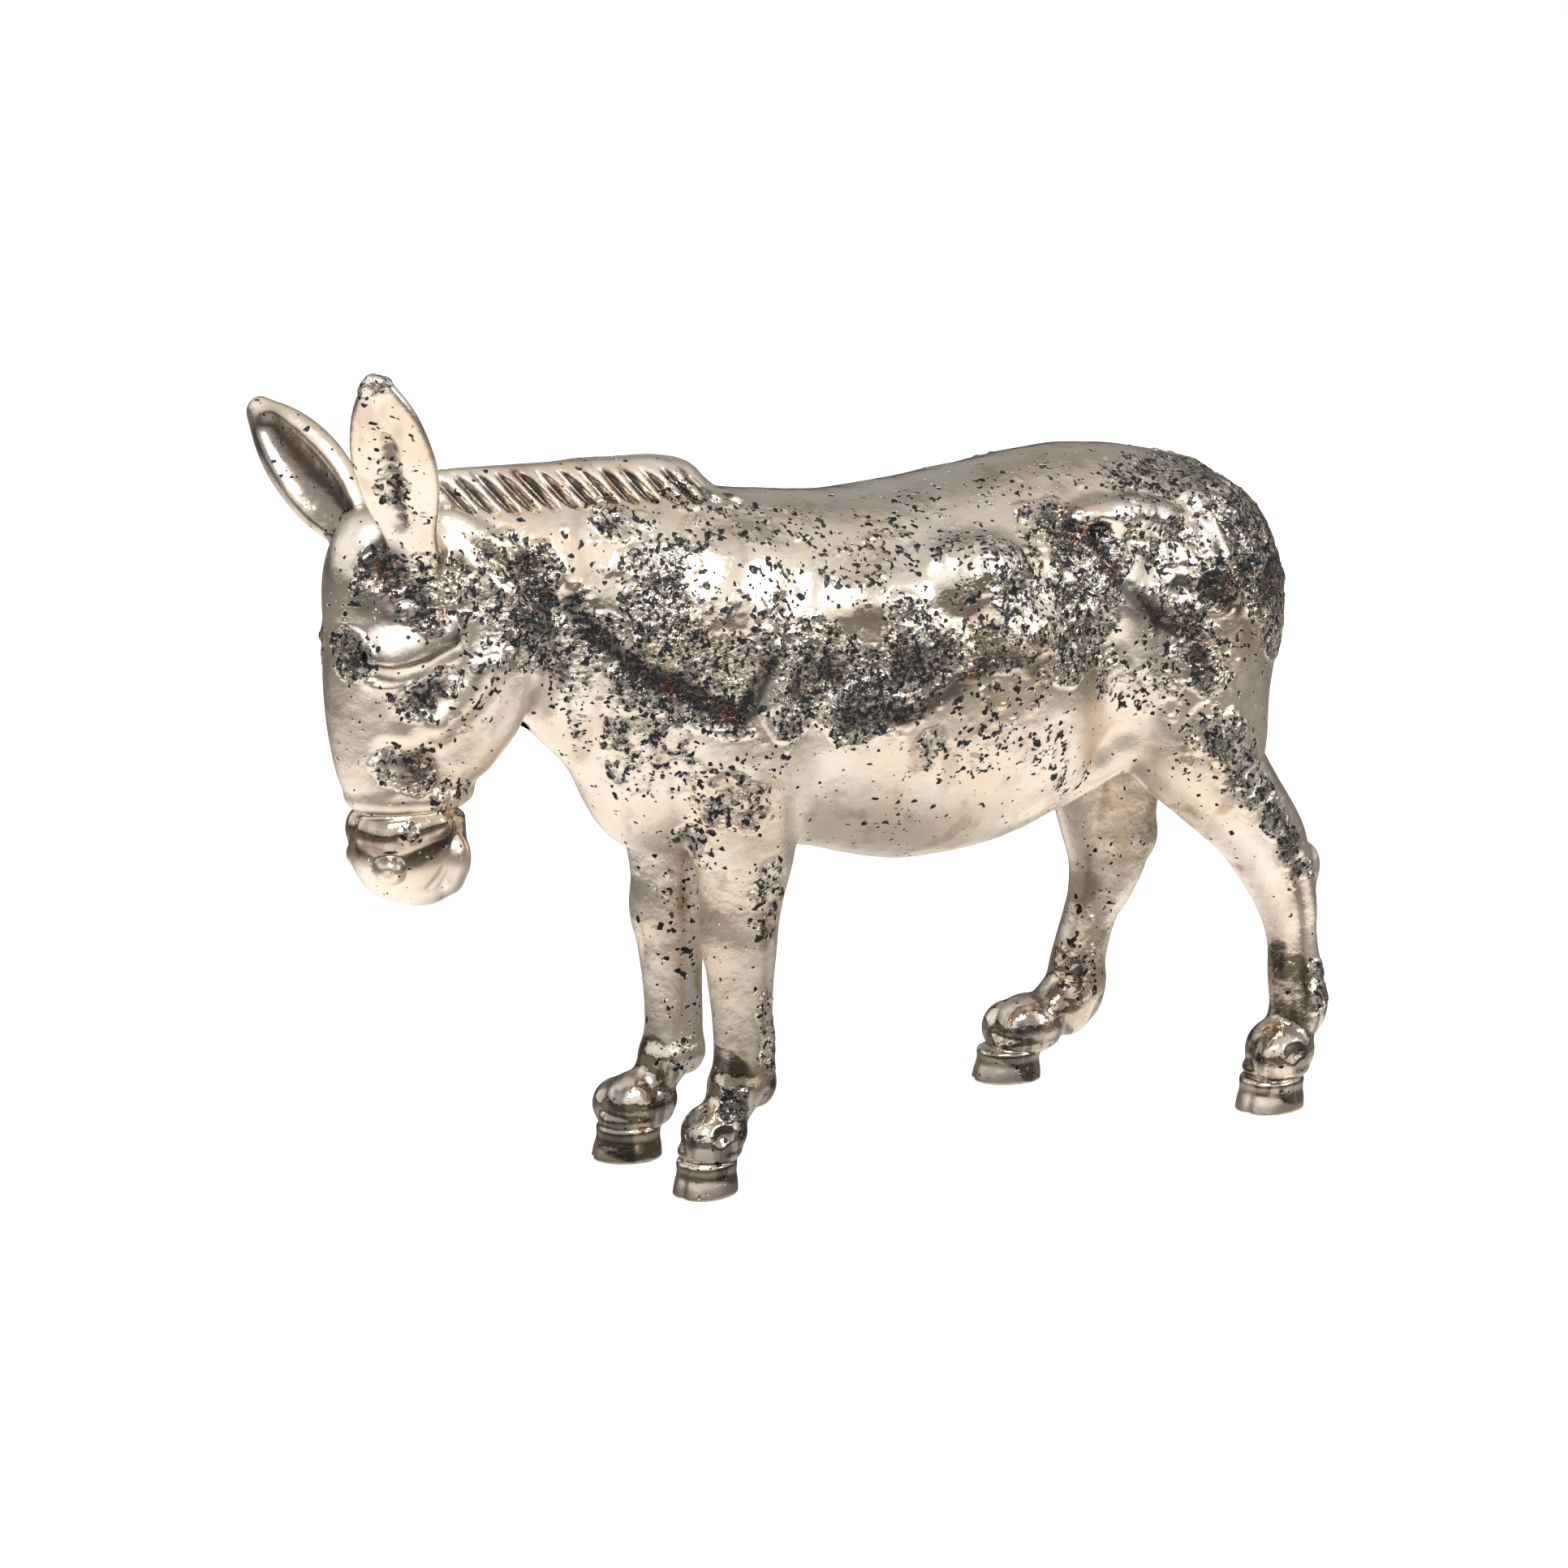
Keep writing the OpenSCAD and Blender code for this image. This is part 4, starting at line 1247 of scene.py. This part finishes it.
def cast_metal(name, shine, satin, grain, stain, painted_reflection, stain_colour):
    """Cast nickel-coloured metal, pitted and darkened where the skin is rough, with painted shade
    and painted dark reflections.
    """
    n = Nodes(name)
    rough = n.skin("rough")
    polish = n.skin("polish")
    painted_shade = n.skin("painted_shade")
    worn = n.math("ADD", rough, n.ramp(n.noise(6, 3), 0.3, 0.7, -0.2, 0.16), clamp=True)
    heavy = n.ramp(worn, 0.45, 0.95)
    large = n.blobs(3.0, worn, 0.74, 0.60, 0.025, 0.8)
    small = n.blobs(1.7, worn, 0.75, 0.56, 0.025, 0.8)
    lone = n.blobs(2.3, n.ramp(rough, 0.08, 0.42), 0.83, 0.675, 0.02, 0.8)
    fold = n.math("ABSOLUTE", n.math("SUBTRACT", n.noise(2.4, 3, 0.6), 0.5))
    cracks = n.math("MULTIPLY", n.ramp(fold, 0.0, 0.03, 1.0, 0.0), n.ramp(worn, 0.6, 0.95))
    holes = n.math("MAXIMUM", n.math("MAXIMUM", large, small), lone)
    dark = n.math("MAXIMUM", holes, n.math("MULTIPLY", cracks, 0.8), clamp=True)
    glints = n.math("MULTIPLY", heavy, n.ramp(n.noise(1.2, 1), 0.5, 0.58, 0.0, 0.75))
    dark = n.math("MULTIPLY", dark, n.math("SUBTRACT", 1.0, glints))
    base = n.mix(n.ramp(n.noise(30, 3), 0.4, 0.65), NICKEL, WARM)
    base = n.mix(n.math("MULTIPLY", heavy, n.ramp(n.noise(1.6, 2), 0.46, 0.56, 0.0, 0.8)),
                 base, CLOUDY)
    base = n.mix(n.math("MULTIPLY", heavy, n.ramp(n.noise(8, 4), 0.46, 0.6, 0.0, 0.62)),
                 base, PATINA)
    base = n.mix(n.math("MULTIPLY", n.ramp(n.upright_noise(9, 0.4), 0.56, 0.68), stain),
                 base, stain_colour)
    # Painted dark reflection streaks on the places rubbed to a mirror
    painted_reflection_mask = n.math("MULTIPLY", n.ramp(n.upright_noise(5.0, 0.22), 0.42, 0.58, 0.2, 1.0),
                    n.ramp(polish, 0.75, 1.0))
    base = n.mix(n.math("MULTIPLY", painted_reflection_mask, painted_reflection), base, PAINTED_DARK_REFLECTION)
    # Painted shade and painted dark reflections, dark grey and reddish in places
    base = n.mix(n.math("MULTIPLY", painted_shade, 0.96, clamp=True), base,
                 n.mix(n.ramp(n.noise(9, 2), 0.48, 0.66), PAINTED_SHADE_COLOUR, RUSTY_PAINTED_SHADE_COLOUR))
    n.put(n.shader.inputs["Base Color"], n.mix(dark, base, PIT))
    gloss = n.ramp(polish, 0.0, 1.0, satin, shine)
    gloss = n.math("ADD", gloss, n.ramp(n.noise(13, 3), 0.3, 0.7, -0.04, 0.05))
    gloss = n.math("SUBTRACT", gloss, n.math("MULTIPLY", heavy, 0.1), clamp=True)
    n.put(n.shader.inputs["Roughness"], n.math("ADD", gloss, n.math("MULTIPLY", dark, 0.3)))
    n.shader.inputs["Metallic"].default_value = 1.0
    swell = n.math("MULTIPLY", n.noise(1.8, 3), n.ramp(worn, 0.5, 0.95))
    relief = n.math("SUBTRACT", swell, n.math("MULTIPLY", dark, 0.8))
    rise = n.bump(relief, 0.62, 1.0)
    ripple = n.bump(n.noise(6, 3), 0.9 * grain, 0.8, rise)
    n.put(n.shader.inputs["Normal"], n.bump(n.noise(0.9, 3), 0.035, grain, ripple))
    return n.material


def make_finishes():
    """The three finishes, each as (slot name in the record, material)."""
    polished = cast_metal("polished_skin", shine=0.1, satin=0.34, grain=0.55, stain=0.25,
                          painted_reflection=0.3, stain_colour=RUST)
    satin = cast_metal("satin_skin", shine=0.07, satin=0.34, grain=0.9, stain=0.8,
                       painted_reflection=0.75, stain_colour=TAN)
    bright = cast_metal("bright_skin", shine=0.07, satin=0.3, grain=0.3, stain=0.1,
                        painted_reflection=0.7, stain_colour=TAN)
    return ("polished_casting", polished), ("satin_casting", satin), ("bright_casting", bright)


# ---- Studio ----------------------------------------------------------------------------


TABLE = (1.32, 1.25, 1.17)
TABLE_FAR = (0.2, 0.18, 0.16)
# A shadow of the figure painted into the table's glow that the metal sees: how far it reaches, and
# the light left in it
SHADE_REACH = 0.16
SHADE_LIGHT = 0.38


def floor_paint():
    """White to the camera; the metal sees a warm pale table that is dark at a low angle, with a
    shadow painted under the figure.
    """
    n = Nodes("floor_paint")
    n.shader.inputs["Base Color"].default_value = (0.93, 0.92, 0.91, 1)
    n.shader.inputs["Roughness"].default_value = 0.9
    n.shader.inputs["Emission Color"].default_value = (1, 1, 1, 1)
    n.shader.inputs["Emission Strength"].default_value = 0.55
    facing = n.node("ShaderNodeLayerWeight").outputs["Facing"]
    seen = n.node("ShaderNodeEmission")
    n.put(seen.inputs[0], n.mix(n.ramp(facing, 0.35, 0.78), TABLE, TABLE_FAR))
    spread = n.node("ShaderNodeVectorMath", operation="LENGTH")
    n.put(spread.inputs[0], n.where)
    n.put(seen.inputs["Strength"],
          n.ramp(spread.outputs["Value"], 0.05, SHADE_REACH, SHADE_LIGHT, 1.0))
    rays = n.node("ShaderNodeLightPath").outputs["Is Camera Ray"]
    both = n.node("ShaderNodeMixShader")
    n.put(both.inputs[0], rays)
    n.tree.links.new(seen.outputs[0], both.inputs[1])
    n.tree.links.new(n.shader.outputs[0], both.inputs[2])
    n.tree.links.new(both.outputs[0], n.tree.nodes["Material Output"].inputs[0])
    return n.material


def floor():
    """A wide white disc under the feet."""
    count, radius = 96, 6.0
    mesh = bpy.data.meshes.new("floor")
    ring = [(radius * math.cos(a), radius * math.sin(a), 0)
            for a in np.linspace(0, 2 * math.pi, count, endpoint=False)]
    mesh.from_pydata(ring, [], [list(range(count))])
    mesh.materials.append(floor_paint())
    obj = bpy.data.objects.new("floor", mesh)
    bpy.context.scene.collection.objects.link(obj)


def area_light(name, place, aim, size, power, colour):
    data = bpy.data.lights.new(name, "AREA")
    data.shape = "RECTANGLE"
    data.size, data.size_y = size
    data.energy = power
    data.color = colour
    obj = bpy.data.objects.new(name, data)
    obj.location = place
    obj.rotation_euler = (Vector(aim) - Vector(place)).to_track_quat("-Z", "Y").to_euler()
    bpy.context.scene.collection.objects.link(obj)
    obj.visible_camera = False


# Compass direction of the dark side of the room, and how much light is left there
DARK_SIDE = (0.485, 0.875, 0.0)
DARK_SIDE_LIGHT = 0.34
DARK_SIDE_EDGE = (0.1, 0.75)
SKY = [
    (0.0, (0.06, 0.054, 0.048)),
    (0.07, (0.12, 0.11, 0.10)),
    (0.15, (0.80, 0.77, 0.73)),
    (0.45, (1.2, 1.18, 1.15)),
    (0.66, (0.98, 0.95, 0.91)),
    (1.0, (0.68, 0.64, 0.60)),
]


def sky():
    """White to the camera; to the metal, a room that is dark at the horizon and above."""
    world = bpy.data.worlds.new("studio")
    world.use_nodes = True
    tree = world.node_tree
    tree.nodes.clear()
    where = tree.nodes.new("ShaderNodeTexCoord")
    parts = tree.nodes.new("ShaderNodeSeparateXYZ")
    tree.links.new(where.outputs["Generated"], parts.inputs[0])
    ramp = tree.nodes.new("ShaderNodeValToRGB")
    tree.links.new(parts.outputs["Z"], ramp.inputs[0])
    stops = ramp.color_ramp.elements
    while len(stops) < len(SKY):
        stops.new(0.5)
    for stop, (place, colour) in zip(stops, SKY):
        stop.position = place
        stop.color = (*colour, 1)
    toward = tree.nodes.new("ShaderNodeVectorMath")
    toward.operation = "DOT_PRODUCT"
    tree.links.new(where.outputs["Generated"], toward.inputs[0])
    toward.inputs[1].default_value = DARK_SIDE
    dimmer = tree.nodes.new("ShaderNodeMapRange")
    dimmer.interpolation_type = "SMOOTHSTEP"
    tree.links.new(toward.outputs["Value"], dimmer.inputs[0])
    for socket, number in zip(dimmer.inputs[1:5], (*DARK_SIDE_EDGE, 1.0, DARK_SIDE_LIGHT)):
        socket.default_value = number
    room = tree.nodes.new("ShaderNodeBackground")
    tree.links.new(ramp.outputs[0], room.inputs[0])
    tree.links.new(dimmer.outputs[0], room.inputs["Strength"])
    white = tree.nodes.new("ShaderNodeBackground")
    white.inputs[0].default_value = (1, 1, 1, 1)
    rays = tree.nodes.new("ShaderNodeLightPath")
    both = tree.nodes.new("ShaderNodeMixShader")
    tree.links.new(rays.outputs["Is Camera Ray"], both.inputs[0])
    tree.links.new(room.outputs[0], both.inputs[1])
    tree.links.new(white.outputs[0], both.inputs[2])
    out = tree.nodes.new("ShaderNodeOutputWorld")
    tree.links.new(both.outputs[0], out.inputs[0])
    return world


def studio():
    floor()
    scene = bpy.context.scene
    scene.world = sky()
    scene.view_settings.view_transform = "Standard"
    middle = (0, 0, 0.13)
    area_light("key", (-0.75, -1.0, 1.5), middle, size=(1.0, 0.7), power=26, colour=(1, 0.98, 0.97))
    area_light("side", (0.9, -1.3, 0.9), middle, size=(0.5, 0.8), power=7, colour=(1, 0.97, 0.94))


SENSOR_MM, LENS_MM = 36, 97.1


def camera():
    """The camera stands to the front left of the donkey, a little above it."""
    azimuth, elevation, distance = math.radians(-29), math.radians(13.5), 1.25
    aim = Vector((-0.0081, 0.0116, 0.110))
    back = Vector((math.sin(azimuth) * math.cos(elevation),
                   -math.cos(azimuth) * math.cos(elevation), math.sin(elevation)))
    data = bpy.data.cameras.new("camera")
    data.sensor_width = SENSOR_MM
    data.lens = LENS_MM
    data.clip_end = 50
    obj = bpy.data.objects.new("camera", data)
    obj.location = aim + back * distance
    obj.rotation_euler = (-back).to_track_quat("-Z", "Y").to_euler()
    bpy.context.scene.collection.objects.link(obj)
    bpy.context.scene.camera = obj


make_pieces(sculpt(), make_finishes())
studio()
camera()
